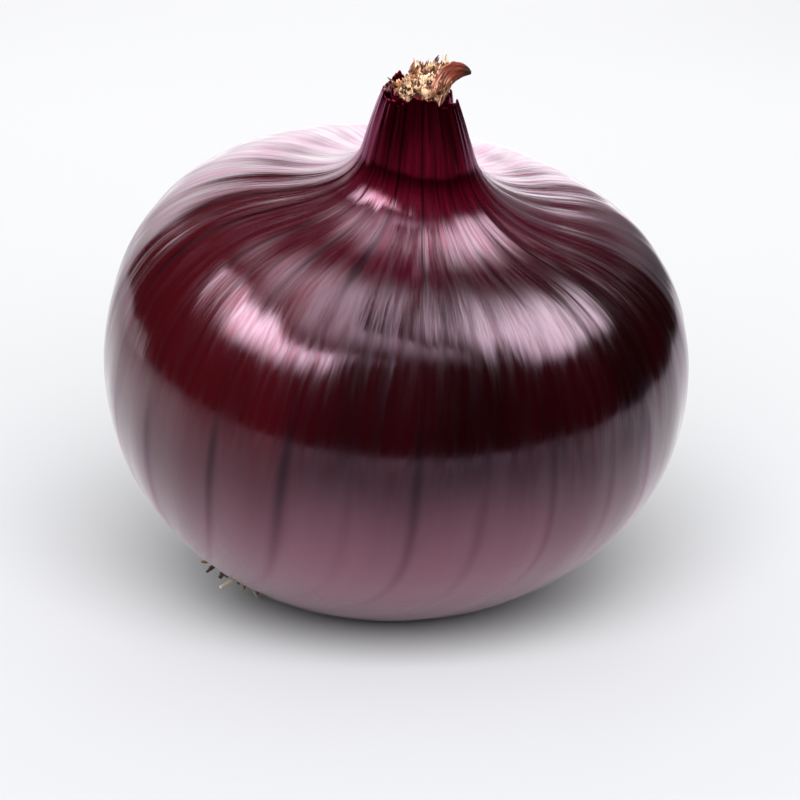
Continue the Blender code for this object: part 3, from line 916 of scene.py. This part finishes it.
# %% [markdown]
# The finish of the skin. Its colour goes from nearly black wine at the front to red at the left, purple on
# the shoulder and pale pink at the foot. The pale foot is partly the skin's paler colour near the roots and
# partly painted light on the underside, set by height above the floor. Its gloss is that of a dry, polished
# sheet: low roughness and a fairly high index of refraction. Where the skin is fibrous, it mirrors less. The
# metallic socket does that: a dark metal mirrors in its own dark colour, so a share of it mutes the white
# reflection in streaks, along the veins and on the neck. The base colour is raised by the same share in the
# streaks, so that only the gloss is streaked. Two fine bumps, strongest on the upper half, break up the
# edges of the highlights.

# %% Colours and grains of the skin
DEEP_WINE = (0.0025, 0.0001, 0.0002)
WINE = (0.0062, 0.0002, 0.0006)
RED_SIDE = (0.024, 0.0010, 0.0022)
SHOULDER_COLOUR = (0.024, 0.0006, 0.0042)
VEIN_COLOUR = (0.0045, 0.0003, 0.0012)
NECK_COLOUR = (0.062, 0.0007, 0.006)
# Partly the skin's paler colour near the roots, partly painted light on the underside.
PALE_FOOT_AND_PAINTED_LIGHT_COLOUR = (0.125, 0.044, 0.066)
SKIN_TINT = (1.0, 0.68, 0.88)
SKIN_ROUGHNESS = (0.22, 0.13)
SKIN_IOR = 1.6
# Grains: size across and along in mm, offset, and detail where it isn't 2.
BROAD_GRAIN = (12.0, 60.0, 3.0)
FINE_GRAIN = (1.0, 9.0, 11.0, 3.0)
STREAK_GRAIN = (1.5, 8.0, 37.0, 3.0)
THREAD_GRAIN = (0.45, 6.0, 23.0)
BROAD_SHARE_OF_TONE = 0.75
TONE_RANGE = (0.35, 0.65)
STREAK_RANGE = (0.32, 0.64)
RED_SIDE_PLACES = (-0.010, -0.050)
RED_SIDE_WAVER = -0.03
SHOULDER_HEIGHTS = (46.0 * MM, 54.0 * MM)
SHOULDER_SHARE = 0.8
# Heights of the pale foot, which is partly painted light on the underside.
PALE_FOOT_AND_PAINTED_LIGHT_HEIGHTS = (30.0 * MM, 8.0 * MM)
BROAD_FOOT_WAVER = 8.0 * MM
FINE_FOOT_WAVER = 1.5 * MM
NECK_COLOUR_RANGE = (0.3, 1.0)
VEIN_COLOUR_SHARE = 0.8
VEIN_FADE_HEIGHTS = (6.0 * MM, 20.0 * MM)
VEIN_SHARE_AT_FOOT = 0.3
BELLY_BAND_FOOT = (30.0 * MM, 37.0 * MM)
BELLY_BAND_TOP = (52.0 * MM, 45.0 * MM)
VEIN_LOSS_IN_BAND = 0.75
STREAK_DULLNESS = 0.48
VEIN_DULLNESS = 0.5
NECK_DULL_RANGE = (0.2, 1.0)
NECK_DULLNESS = 0.95
FINE_RELIEF = 0.028 * MM
THREAD_RELIEF = 0.008 * MM
print("the finest grain of the skin is", THREAD_GRAIN[0], "mm across")


# %% Red skin material
def bump(tree, height, depth, onto=None):
    """Turns a height of 0 to 1 into relief of the given depth in metres."""
    made = node(tree, "ShaderNodeBump", Distance=depth, Strength=1.0)
    tree.links.new(height, made.inputs["Height"])
    if onto is not None:
        tree.links.new(onto, made.inputs["Normal"])
    return made.outputs["Normal"]


def read_marks(tree, z):
    """The shares of vein, upper half and neck. Veins are weaker at the foot and in the dark belly band."""
    marks = tree.nodes.new("ShaderNodeAttribute")
    marks.attribute_name = "marks"
    split = tree.nodes.new("ShaderNodeSeparateXYZ")
    tree.links.new(marks.outputs["Vector"], split.inputs[0])
    vein, upper, neck = split.outputs
    at_foot = ramp(tree, z, *VEIN_FADE_HEIGHTS, VEIN_SHARE_AT_FOOT, 1.0)
    in_band = maths(tree, "MULTIPLY", ramp(tree, z, *BELLY_BAND_FOOT), ramp(tree, z, *BELLY_BAND_TOP))
    kept = maths(tree, "SUBTRACT", 1.0, maths(tree, "MULTIPLY", in_band, VEIN_LOSS_IN_BAND))
    vein = maths(tree, "MULTIPLY", maths(tree, "MULTIPLY", vein, at_foot), kept)
    return vein, upper, neck


def wavering(tree, place, grain_value, reach):
    """A place that wavers by a grain, within half its reach to both sides."""
    offset = maths(tree, "MULTIPLY", maths(tree, "SUBTRACT", grain_value, 0.5), reach)
    return maths(tree, "ADD", place, offset)


def skin_colour(tree, x, z, vein, neck, broad, fine):
    broad_part = maths(tree, "MULTIPLY", broad, BROAD_SHARE_OF_TONE)
    tone = maths(tree, "ADD", broad_part, maths(tree, "MULTIPLY", fine, 1.0 - BROAD_SHARE_OF_TONE))
    colour = blend_colours(tree, ramp(tree, tone, *TONE_RANGE), DEEP_WINE, WINE)
    on_shoulder = ramp(tree, z, *SHOULDER_HEIGHTS, 0.0, SHOULDER_SHARE)
    colour = blend_colours(tree, on_shoulder, colour, SHOULDER_COLOUR)
    wavered = maths(tree, "ADD", x, maths(tree, "MULTIPLY", tone, RED_SIDE_WAVER))
    colour = blend_colours(tree, ramp(tree, wavered, *RED_SIDE_PLACES), colour, RED_SIDE)
    colour = blend_colours(tree, ramp(tree, neck, *NECK_COLOUR_RANGE), colour, NECK_COLOUR)
    colour = blend_colours(tree, maths(tree, "MULTIPLY", vein, VEIN_COLOUR_SHARE), colour, VEIN_COLOUR)
    # The pale foot: partly the skin's paler colour near the roots, partly painted light on the underside, by
    # height above the floor.
    low = wavering(tree, wavering(tree, z, broad, BROAD_FOOT_WAVER), fine, FINE_FOOT_WAVER)
    return blend_colours(tree, ramp(tree, low, *PALE_FOOT_AND_PAINTED_LIGHT_HEIGHTS), colour, PALE_FOOT_AND_PAINTED_LIGHT_COLOUR)


def evened(tree, colour, muted):
    """Raises a colour by what the muted share takes from it."""
    scale = tree.nodes.new("ShaderNodeVectorMath")
    scale.operation = "SCALE"
    tree.links.new(colour, scale.inputs[0])
    left_over = maths(tree, "SUBTRACT", 1.0, muted)
    tree.links.new(maths(tree, "DIVIDE", 1.0, left_over), scale.inputs["Scale"])
    return scale.outputs[0]


def make_skin_material():
    material, tree = new_material("red_onion_skin")
    x, y, z = split_object_place(tree)
    vein, upper, neck = read_marks(tree, z)
    broad = grain(tree, *BROAD_GRAIN)
    fine = grain(tree, *FINE_GRAIN)
    streaks = grain(tree, *STREAK_GRAIN)
    threads = grain(tree, *THREAD_GRAIN)
    colour = skin_colour(tree, x, z, vein, neck, broad, fine)
    streaky = maths(tree, "MULTIPLY", ramp(tree, streaks, *STREAK_RANGE, STREAK_DULLNESS, 0.0), upper)
    dull = maths(tree, "MAXIMUM", maths(tree, "MULTIPLY", vein, VEIN_DULLNESS), streaky)
    dull = maths(tree, "MAXIMUM", dull, ramp(tree, neck, *NECK_DULL_RANGE, 0.0, NECK_DULLNESS))
    relief = bump(tree, maths(tree, "MULTIPLY", fine, upper), FINE_RELIEF)
    relief = bump(tree, maths(tree, "MULTIPLY", threads, upper), THREAD_RELIEF, relief)
    shader = node(tree, "ShaderNodeBsdfPrincipled", IOR=SKIN_IOR, Specular_Tint=(*SKIN_TINT, 1.0))
    tree.links.new(evened(tree, colour, streaky), shader.inputs["Base Color"])
    tree.links.new(ramp(tree, fine, *TONE_RANGE, *SKIN_ROUGHNESS), shader.inputs["Roughness"])
    tree.links.new(dull, shader.inputs["Metallic"])
    tree.links.new(relief, shader.inputs["Normal"])
    finish_surface(tree, shader)
    return material


finish_piece(skin, "bulb", make_skin_material())


# %% [markdown]
# The leaves that once stood above the bulb have dried and torn off short. What is left in the cup of the
# neck is a bunch of thin, stiff, crumpled shreds. One strip is modelled once. Each copy gets its own mesh,
# and is torn, curled, twisted and placed by a rule with seeded draws, taller to the right as on the onion.

# %% Sizes of the dry leaf ends
SHREDS = 40
SHRED_DRAW = 8
SHRED_LENGTH = (2.6 * MM, 6.2 * MM)
SHRED_LENGTH_CHANGE = (0.8, 1.08)
SHRED_WIDTH = 2.5 * MM
SHRED_WIDTH_CHANGE = (0.5, 1.25)
SHRED_THICKNESS = 0.16 * MM
SHRED_SPREAD = 3.1 * MM
SHRED_MIDDLE = -1.7 * MM
SHRED_FOOT = 0.3 * MM
SHRED_STEPS = 14
SHRED_LANES = 8
SHRED_TWIST = 1.3
SHRED_LEAN = 0.35
SHRED_CURL = (-0.5, 0.9)
SHRED_CURL_REACH = 0.25
SHRED_CUP = 0.5
SHRED_CUP_DEPTH = 0.4
SHRED_NARROWING = 0.35
NOISE_PLACES = 50.0
TEAR_DEPTH = 0.45
TEARS_ACROSS = 2.6
CRUMPLE_DEPTH = 0.13
CRUMPLE_WAVES = Vector((1.6, 4.0))
PLEAT_DEPTH = 0.05
PLEATS = 4.0
GOLDEN_TURN = math.pi * (3.0 - math.sqrt(5.0))
TUFT_MIDDLE = step(-0.6, 0.5).to_3d()
TUFT_MIDDLE_FADE = 0.4
print(SHREDS, "shreds of", SHRED_LENGTH[0] / MM, "to", SHRED_LENGTH[1] / MM, "mm")


# %% Shape one shred
def cup_middle(height):
    """The middle of the cup at a height, in the bulb's own axes."""
    upright = math.tan(LEAN_TO_RIGHT) * (height - NECK_UPRIGHT_ABOVE)
    return Vector((-upright, NECK_SET_BACK, height))


def make_shred_strip():
    """One flat strip, one metre wide and long, cut into lanes and steps."""
    deselect()
    bpy.ops.mesh.primitive_grid_add(
        x_subdivisions=SHRED_LANES, y_subdivisions=SHRED_STEPS, size=1.0, location=(0.0, 0.0, 0.0)
    )
    strip = bpy.context.object
    strip.name = "shred_strip"
    edit(strip)
    bpy.ops.transform.translate(value=(0.0, 0.5, 0.0))
    leave_edit()
    return strip


def shred_foot(out, distance):
    """Where a shred stands on the floor of the cup."""
    middle = TUFT_MIDDLE * (1.0 - distance / SHRED_SPREAD * TUFT_MIDDLE_FADE)
    return cup_middle(CUP_FLOOR.y + SHRED_FOOT) + middle + out * distance


def place_shred(strip, number, draw):
    """A copy of the strip, torn and curled, standing in the cup."""
    only(strip)
    bpy.ops.object.duplicate(linked=False)
    shred = bpy.context.object
    bearing = GOLDEN_TURN * number
    out = Vector((math.sin(bearing), -math.cos(bearing), 0.0))
    distance = SHRED_SPREAD * math.sqrt((number + 0.5) / SHREDS)
    foot = shred_foot(out, distance)
    to_right = min(max(0.5 + 0.5 * (foot.x - SHRED_MIDDLE) / SHRED_SPREAD, 0.0), 1.0)
    reach = SHRED_LENGTH[0] + (SHRED_LENGTH[1] - SHRED_LENGTH[0]) * to_right
    reach *= draw.uniform(*SHRED_LENGTH_CHANGE)
    width = SHRED_WIDTH * draw.uniform(*SHRED_WIDTH_CHANGE)
    heading = draw.uniform(0.0, math.pi)
    twist = draw.uniform(-SHRED_TWIST, SHRED_TWIST)
    lean = draw.uniform(0.0, SHRED_LEAN) * distance / SHRED_SPREAD
    curl = draw.uniform(*SHRED_CURL)
    cup = draw.uniform(-SHRED_CUP, SHRED_CUP)
    seed = draw.uniform(0.0, NOISE_PLACES)
    for vertex in shred.data.vertices:
        across, up = vertex.co.x * 2.0, vertex.co.y
        torn = TEAR_DEPTH * noise.noise(Vector((across * TEARS_ACROSS + seed, 0.0, 0.0))) * up
        narrow = 1.0 - SHRED_NARROWING * up**2.0
        turn = heading + twist * up
        side = Vector((math.cos(turn), math.sin(turn), 0.0))
        face = Vector((-side.y, side.x, 0.0))
        rise = up * (1.0 + torn)
        bend = lean * rise + curl * SHRED_CURL_REACH * rise**3
        crumple = CRUMPLE_DEPTH * noise.noise(Vector((across * CRUMPLE_WAVES.x, up * CRUMPLE_WAVES.y, seed)))
        crumple += PLEAT_DEPTH * math.sin(PLEATS * across + seed)
        place = foot + side * (across * width * 0.5 * narrow)
        place += face * (cup * width * SHRED_CUP_DEPTH * across * across + crumple * width * 2.0)
        place += out * bend * reach
        place.z += rise * reach * (1.0 - SHRED_CURL_REACH * abs(curl) * rise)
        vertex.co = place
    return shred


def thicken(thing, thickness):
    """Gives a sheet a wall of its own, half to each side."""
    only(thing)
    wall = thing.modifiers.new("thickness", "SOLIDIFY")
    wall.thickness = thickness
    wall.offset = 0.0
    bpy.ops.object.modifier_apply(modifier="thickness")


print("each strip has", SHRED_LANES, "lanes and", SHRED_STEPS, "steps")

# %% [markdown]
# Dry leaf is matt and papery, cream to tan, with dark brown specks. One noise makes the patches and a finer
# one the specks. A third, stretched upwards, makes the fibres, which also give it a fine relief.

# %% Dry leaf material
CREAM = (0.58, 0.40, 0.25)
TAN = (0.20, 0.07, 0.028)
SPECK_COLOUR = (0.04, 0.010, 0.005)
FIBRE_COLOUR = (0.16, 0.07, 0.03)
PATCH_RANGE = (0.38, 0.62)
SPECK_RANGE = (0.47, 0.56)
FIBRE_RANGE = (0.45, 0.7)
FIBRE_SHARE = 0.4
FIBRE_STRETCH = (3000.0, 3000.0, 350.0)
FIBRE_RELIEF = 0.05 * MM
PATCH_SCALE = 420.0
SPECK_SCALE = 900.0
SPECK_NOISE_ROUGHNESS = 0.65
DRY_LEAF_ROUGHNESS = 0.75
PAPER_IOR = 1.4


def noise_texture(tree, place, scale, detail=3.0, roughness=0.6):
    """A noise at a place socket. Returns its value."""
    made = node(tree, "ShaderNodeTexNoise", Scale=scale, Detail=detail, Roughness=roughness)
    tree.links.new(place, made.inputs["Vector"])
    return made.outputs["Fac"]


def stretched(tree, place, scale):
    made = node(tree, "ShaderNodeMapping", Scale=scale)
    tree.links.new(place, made.inputs["Vector"])
    return made.outputs[0]


def matt_surface(tree, colour, relief, roughness, ior):
    shader = node(tree, "ShaderNodeBsdfPrincipled", Roughness=roughness, IOR=ior)
    tree.links.new(colour, shader.inputs["Base Color"])
    tree.links.new(relief, shader.inputs["Normal"])
    finish_surface(tree, shader)


def make_dry_leaf_material():
    """Cream to tan, with dark brown specks and fibres."""
    material, tree = new_material("dry_leaf")
    place = tree.nodes.new("ShaderNodeTexCoord").outputs["Object"]
    patches = noise_texture(tree, place, PATCH_SCALE)
    specks = noise_texture(tree, place, SPECK_SCALE, roughness=SPECK_NOISE_ROUGHNESS)
    fibres = noise_texture(tree, stretched(tree, place, FIBRE_STRETCH), 1.0, 2.0, 0.5)
    colour = blend_colours(tree, ramp(tree, patches, *PATCH_RANGE), TAN, CREAM)
    colour = blend_colours(tree, ramp(tree, specks, *SPECK_RANGE), colour, SPECK_COLOUR)
    colour = blend_colours(tree, ramp(tree, fibres, *FIBRE_RANGE, 0.0, FIBRE_SHARE), colour, FIBRE_COLOUR)
    matt_surface(tree, colour, bump(tree, fibres, FIBRE_RELIEF), DRY_LEAF_ROUGHNESS, PAPER_IOR)
    return material


dry_leaf = make_dry_leaf_material()
print("dry leaf:", len(dry_leaf.node_tree.nodes), "nodes")


# %% Fill the cup with shreds
def make_shreds(material):
    draw = random.Random(SHRED_DRAW)
    strip = make_shred_strip()
    shreds = [place_shred(strip, number, draw) for number in range(SHREDS)]
    bpy.data.objects.remove(strip, do_unlink=True)
    tuft = join("dry_shreds", shreds)
    set_points(tuft, world_place(points_of(tuft), centre))
    thicken(tuft, SHRED_THICKNESS)
    finish_piece(tuft, "dry_leaf_ends", material)


make_shreds(dry_leaf)

# %% [markdown]
# One broader leaf end stands at the right of the cup and curls out over the rim to a dark point.
# It is a sheet between two edge curves, so a grid is added, and each of its points is placed between the
# two curves at its own share, with a bulged middle and a torn edge. A wall is then given to it.

# %% Shape of the curled leaf end
CURL_UPPER = ((0.9, -2.8, 0.5), (0.4, -3.0, 7.0), (3.3, -2.6, 9.9), (5.6, -1.5, 6.9))
CURL_LOWER = ((3.1, -0.3, 0.5), (3.1, -0.4, 3.2), (3.8, -0.6, 5.2), (5.9, -1.3, 6.3))
CURL_BULGE = Vector((0.5, -0.5, 0.0)) * MM
CURL_BULGE_FADE = 0.6
CURL_THICKNESS = 0.28 * MM
CURL_CUTS = (26, 60)
CURL_TEAR = 0.05
CURL_TEAR_PLACE = Vector((2.0, 9.0, 4.0))
CURL_RIPPLE = 0.16 * MM
CURL_RIPPLE_PLACE = Vector((7.0, 3.0, 9.0))


def on_curve(curve, share):
    """The point at a share of a cubic curve given by its ends and handles, in mm."""
    start, leave, arrive, end = (Vector(point) for point in curve)
    rest = 1.0 - share
    return (
        start * rest**3 + leave * (3.0 * rest**2 * share) + arrive * (3.0 * rest * share**2) + end * share**3
    ) * MM


def make_curled_leaf():
    deselect()
    bpy.ops.mesh.primitive_grid_add(
        x_subdivisions=CURL_CUTS[0], y_subdivisions=CURL_CUTS[1], size=1.0, location=(0.0, 0.0, 0.0)
    )
    leaf = bpy.context.object
    leaf.name = "curled_flake"
    axis = cup_middle(CUP_FLOOR.y)
    shares = []
    for vertex in leaf.data.vertices:
        side, along = vertex.co.x + 0.5, vertex.co.y + 0.5
        tear_place = Vector((along * CURL_TEAR_PLACE.y, side * CURL_TEAR_PLACE.x, CURL_TEAR_PLACE.z))
        edge = CURL_TEAR * noise.noise(tear_place) * math.sin(math.pi * along)
        middle = side + edge * (2.0 * side - 1.0)
        place = on_curve(CURL_UPPER, along).lerp(on_curve(CURL_LOWER, along), middle)
        bulge = math.sin(math.pi * side) * (1.0 - CURL_BULGE_FADE * along)
        ripple_place = Vector((side * CURL_RIPPLE_PLACE.x, along * CURL_RIPPLE_PLACE.y, CURL_RIPPLE_PLACE.z))
        ripple = CURL_RIPPLE * noise.noise(ripple_place)
        vertex.co = axis + place + CURL_BULGE * bulge + Vector((ripple, -ripple, ripple * 0.5))
        shares.append((side, along, 0.0))
    set_points(leaf, world_place(points_of(leaf), centre))
    add_attribute(leaf, "leaf", shares)
    thicken(leaf, CURL_THICKNESS)
    return leaf


flake = make_curled_leaf()
print("the curled leaf end has", len(flake.data.polygons), "faces")


# %% [markdown]
# This leaf end is half dull and red brown, streaked along its length, with painted highlights in pale
# streaks at its foot, and dark at its point. It carries its own two shares, across and along. The streaks
# are a noise stretched by them.

# %% Finish of the curled leaf end
RED_BROWN = (0.22, 0.045, 0.020)
DARK_RED_BROWN = (0.055, 0.006, 0.003)
# Colour of the painted highlights on the leaf end's foot.
PAINTED_HIGHLIGHT_STREAK = (0.62, 0.34, 0.24)
POINT_COLOUR = (0.02, 0.010, 0.008)
LEAF_STREAKS = (26.0, 3.0, 1.0)
LEAF_STREAK_RANGE = (0.35, 0.7)
PAINTED_HIGHLIGHT_STREAK_RANGE = (0.48, 0.58)
PAINTED_HIGHLIGHT_UP_TO = (0.55, 0.32)
POINT_FROM = (0.78, 0.95)
LEAF_RELIEF = 0.08 * MM
CURLED_LEAF_ROUGHNESS = 0.5
CURLED_LEAF_IOR = 1.45


def make_flake_material():
    """Red brown along its length, with painted highlights in pale streaks at its foot, and dark at its
    point.
    """
    material, tree = new_material("curled_leaf")
    shares = tree.nodes.new("ShaderNodeAttribute")
    shares.attribute_name = "leaf"
    split = tree.nodes.new("ShaderNodeSeparateXYZ")
    tree.links.new(shares.outputs["Vector"], split.inputs[0])
    along = split.outputs[1]
    streaks = noise_texture(tree, stretched(tree, shares.outputs["Vector"], LEAF_STREAKS), 1.0)
    colour = blend_colours(tree, ramp(tree, streaks, *LEAF_STREAK_RANGE), DARK_RED_BROWN, RED_BROWN)
    # Painted highlights: pale streaks near the foot stand in for light shining on it.
    at_foot = ramp(tree, along, *PAINTED_HIGHLIGHT_UP_TO)
    pale = maths(tree, "MULTIPLY", ramp(tree, streaks, *PAINTED_HIGHLIGHT_STREAK_RANGE), at_foot)
    colour = blend_colours(tree, pale, colour, PAINTED_HIGHLIGHT_STREAK)
    colour = blend_colours(tree, ramp(tree, along, *POINT_FROM), colour, POINT_COLOUR)
    matt_surface(tree, colour, bump(tree, streaks, LEAF_RELIEF), CURLED_LEAF_ROUGHNESS, CURLED_LEAF_IOR)
    return material


finish_piece(flake, "curled_leaf_end", make_flake_material())

# %% [markdown]
# The roots of a stored onion have dried to short wires on a corky plate. The plate is a disc in the recess,
# inset and raised in edit mode. Each rootlet is a bent curve with a round section, copied by a rule.

# %% Sizes of the dried roots
ROOTLETS = 44
ROOTLET_DRAW = 12
ROOTLET_RADIUS = (0.26 * MM, 0.55 * MM)
ROOTLET_LENGTH = (1.4 * MM, 3.0 * MM)
ROOTLET_START = 0.8 * ROOT_RADIUS
ROOTLET_FOOT = 0.3 * MM
ROOTLET_SHARE_OF_CLEARANCE = 0.62
ROOTLET_SPLAY = (0.2, 1.2)
ROOTLET_LATE_SPLAY = 0.3
ROOTLET_CURL = 0.7
ROOTLET_WAVES = 5.0
ROOTLET_WAVE_SIZE = 0.1
ROOTLET_TAPER = 0.55
ROOTLET_ROUNDNESS = (1, 3)
PLATE_GAP = 0.3 * MM
PLATE_SIDES = 72
# Each step of the plate: how far in, and how far up.
PLATE_STEPS = ((0.25, 0.35), (0.5, 0.3), (0.7, 0.15), (1.0, 0.1), (1.0, 0.0))
root_turn = root_out.to_track_quat("Z", "Y").to_matrix().to_4x4()
root_frame = Matrix.Translation(root_middle) @ root_turn
lying_frame = Matrix.Translation(centre) @ LYING.to_4x4()
print(ROOTLETS, "rootlets on a plate of", round(2.0 * ROOT_RADIUS / MM, 1), "mm")


# %% Root plate and rootlets
def make_root_plate():
    """A corky disc: a short cylinder whose outer face is inset and raised by steps, then cut finer."""
    deselect()
    radius = ROOT_RADIUS * RECESS_TAPER - PLATE_GAP
    bpy.ops.mesh.primitive_cylinder_add(vertices=PLATE_SIDES, radius=radius, depth=RECESS_DEPTH - PLATE_GAP)
    plate = bpy.context.object
    plate.name = "root_plate"
    edit(plate)
    lift = -(RECESS_DEPTH + PLATE_GAP) / 2.0 + PLATE_GAP * 0.5
    bpy.ops.transform.translate(value=(0.0, 0.0, lift + PLATE_GAP * 0.5))
    bpy.ops.mesh.select_mode(type="FACE")
    bpy.ops.mesh.select_all(action="DESELECT")
    leave_edit()
    top = max(plate.data.polygons, key=lambda face: face.center.z)
    top.select = True
    bpy.ops.object.mode_set(mode="EDIT")
    for inset, rise in PLATE_STEPS:
        bpy.ops.mesh.inset(thickness=inset * MM, depth=rise * MM)
    bpy.ops.mesh.select_all(action="SELECT")
    bpy.ops.mesh.subdivide(number_cuts=2)
    leave_edit()
    return plate


def make_rootlet(number, draw):
    """One dried rootlet: a curve with a round section that starts in the plate and curls outwards."""
    bearing = GOLDEN_TURN * number
    start_radius = ROOTLET_START * math.sqrt((number + 0.5) / ROOTLETS)
    out = Vector((math.cos(bearing), math.sin(bearing), 0.0))
    aside = Vector((-out.y, out.x, 0.0))
    start = out * start_radius
    clear = (lying_frame @ (root_frame @ start)).z
    reach = min(draw.uniform(*ROOTLET_LENGTH), ROOTLET_SHARE_OF_CLEARANCE * clear)
    splay = draw.uniform(*ROOTLET_SPLAY) * start_radius / ROOT_RADIUS
    curl = draw.uniform(-ROOTLET_CURL, ROOTLET_CURL)
    thick = draw.uniform(*ROOTLET_RADIUS)
    deselect()
    bpy.ops.curve.primitive_nurbs_path_add(location=(0.0, 0.0, 0.0))
    path = bpy.context.object
    points = path.data.splines[0].points
    for i, point in enumerate(points):
        share = i / (len(points) - 1)
        outwards = splay * (1.0 + ROOTLET_LATE_SPLAY * share)
        sideways = curl * share + ROOTLET_WAVE_SIZE * math.sin(ROOTLET_WAVES * share + number)
        place = start + (out * outwards + aside * sideways) * reach * share
        place.z = ROOTLET_FOOT + reach * share * (1.0 - ROOTLET_LATE_SPLAY * splay * share)
        point.co = (*place, 1.0)
        point.radius = 1.0 - ROOTLET_TAPER * share
    path.data.bevel_depth = thick
    path.data.bevel_resolution, path.data.resolution_u = ROOTLET_ROUNDNESS
    path.data.use_fill_caps = True
    bpy.ops.object.convert(target="MESH")
    return bpy.context.object


def make_roots():
    draw = random.Random(ROOTLET_DRAW)
    pieces = [make_root_plate()] + [make_rootlet(number, draw) for number in range(ROOTLETS)]
    roots = join("dry_roots", pieces)
    points = [lying_frame @ (root_frame @ vertex.co) for vertex in roots.data.vertices]
    set_points(roots, [tuple(point) for point in points])
    return roots


roots = make_roots()
print("the roots have", len(roots.data.polygons), "faces")

# %% [markdown]
# Dried roots are matt and corky. A fine noise mixes two browns, and a broad one adds a few cream patches,
# on the plate and the rootlets alike.

# %% Finish of the dried roots
ROOT_DARK = (0.035, 0.022, 0.02)
ROOT_BROWN = (0.20, 0.12, 0.07)
ROOT_CREAM = (0.50, 0.42, 0.34)
ROOT_BROWN_RANGE = (0.4, 0.6)
ROOT_CREAM_RANGE = (0.52, 0.62)
ROOT_RELIEF = 0.15 * MM
ROOT_PATCH_SCALE = 500.0
ROOT_CREAM_SCALE = 190.0
ROOT_ROUGHNESS = 0.85


def make_root_material():
    material, tree = new_material("dried_root")
    place = tree.nodes.new("ShaderNodeTexCoord").outputs["Object"]
    patches = noise_texture(tree, place, ROOT_PATCH_SCALE)
    broad = noise_texture(tree, place, ROOT_CREAM_SCALE, 1.0, 0.5)
    colour = blend_colours(tree, ramp(tree, patches, *ROOT_BROWN_RANGE), ROOT_DARK, ROOT_BROWN)
    colour = blend_colours(tree, ramp(tree, broad, *ROOT_CREAM_RANGE), colour, ROOT_CREAM)
    matt_surface(tree, colour, bump(tree, patches, ROOT_RELIEF), ROOT_ROUGHNESS, PAPER_IOR)
    return material


finish_piece(roots, "dried_roots", make_root_material())
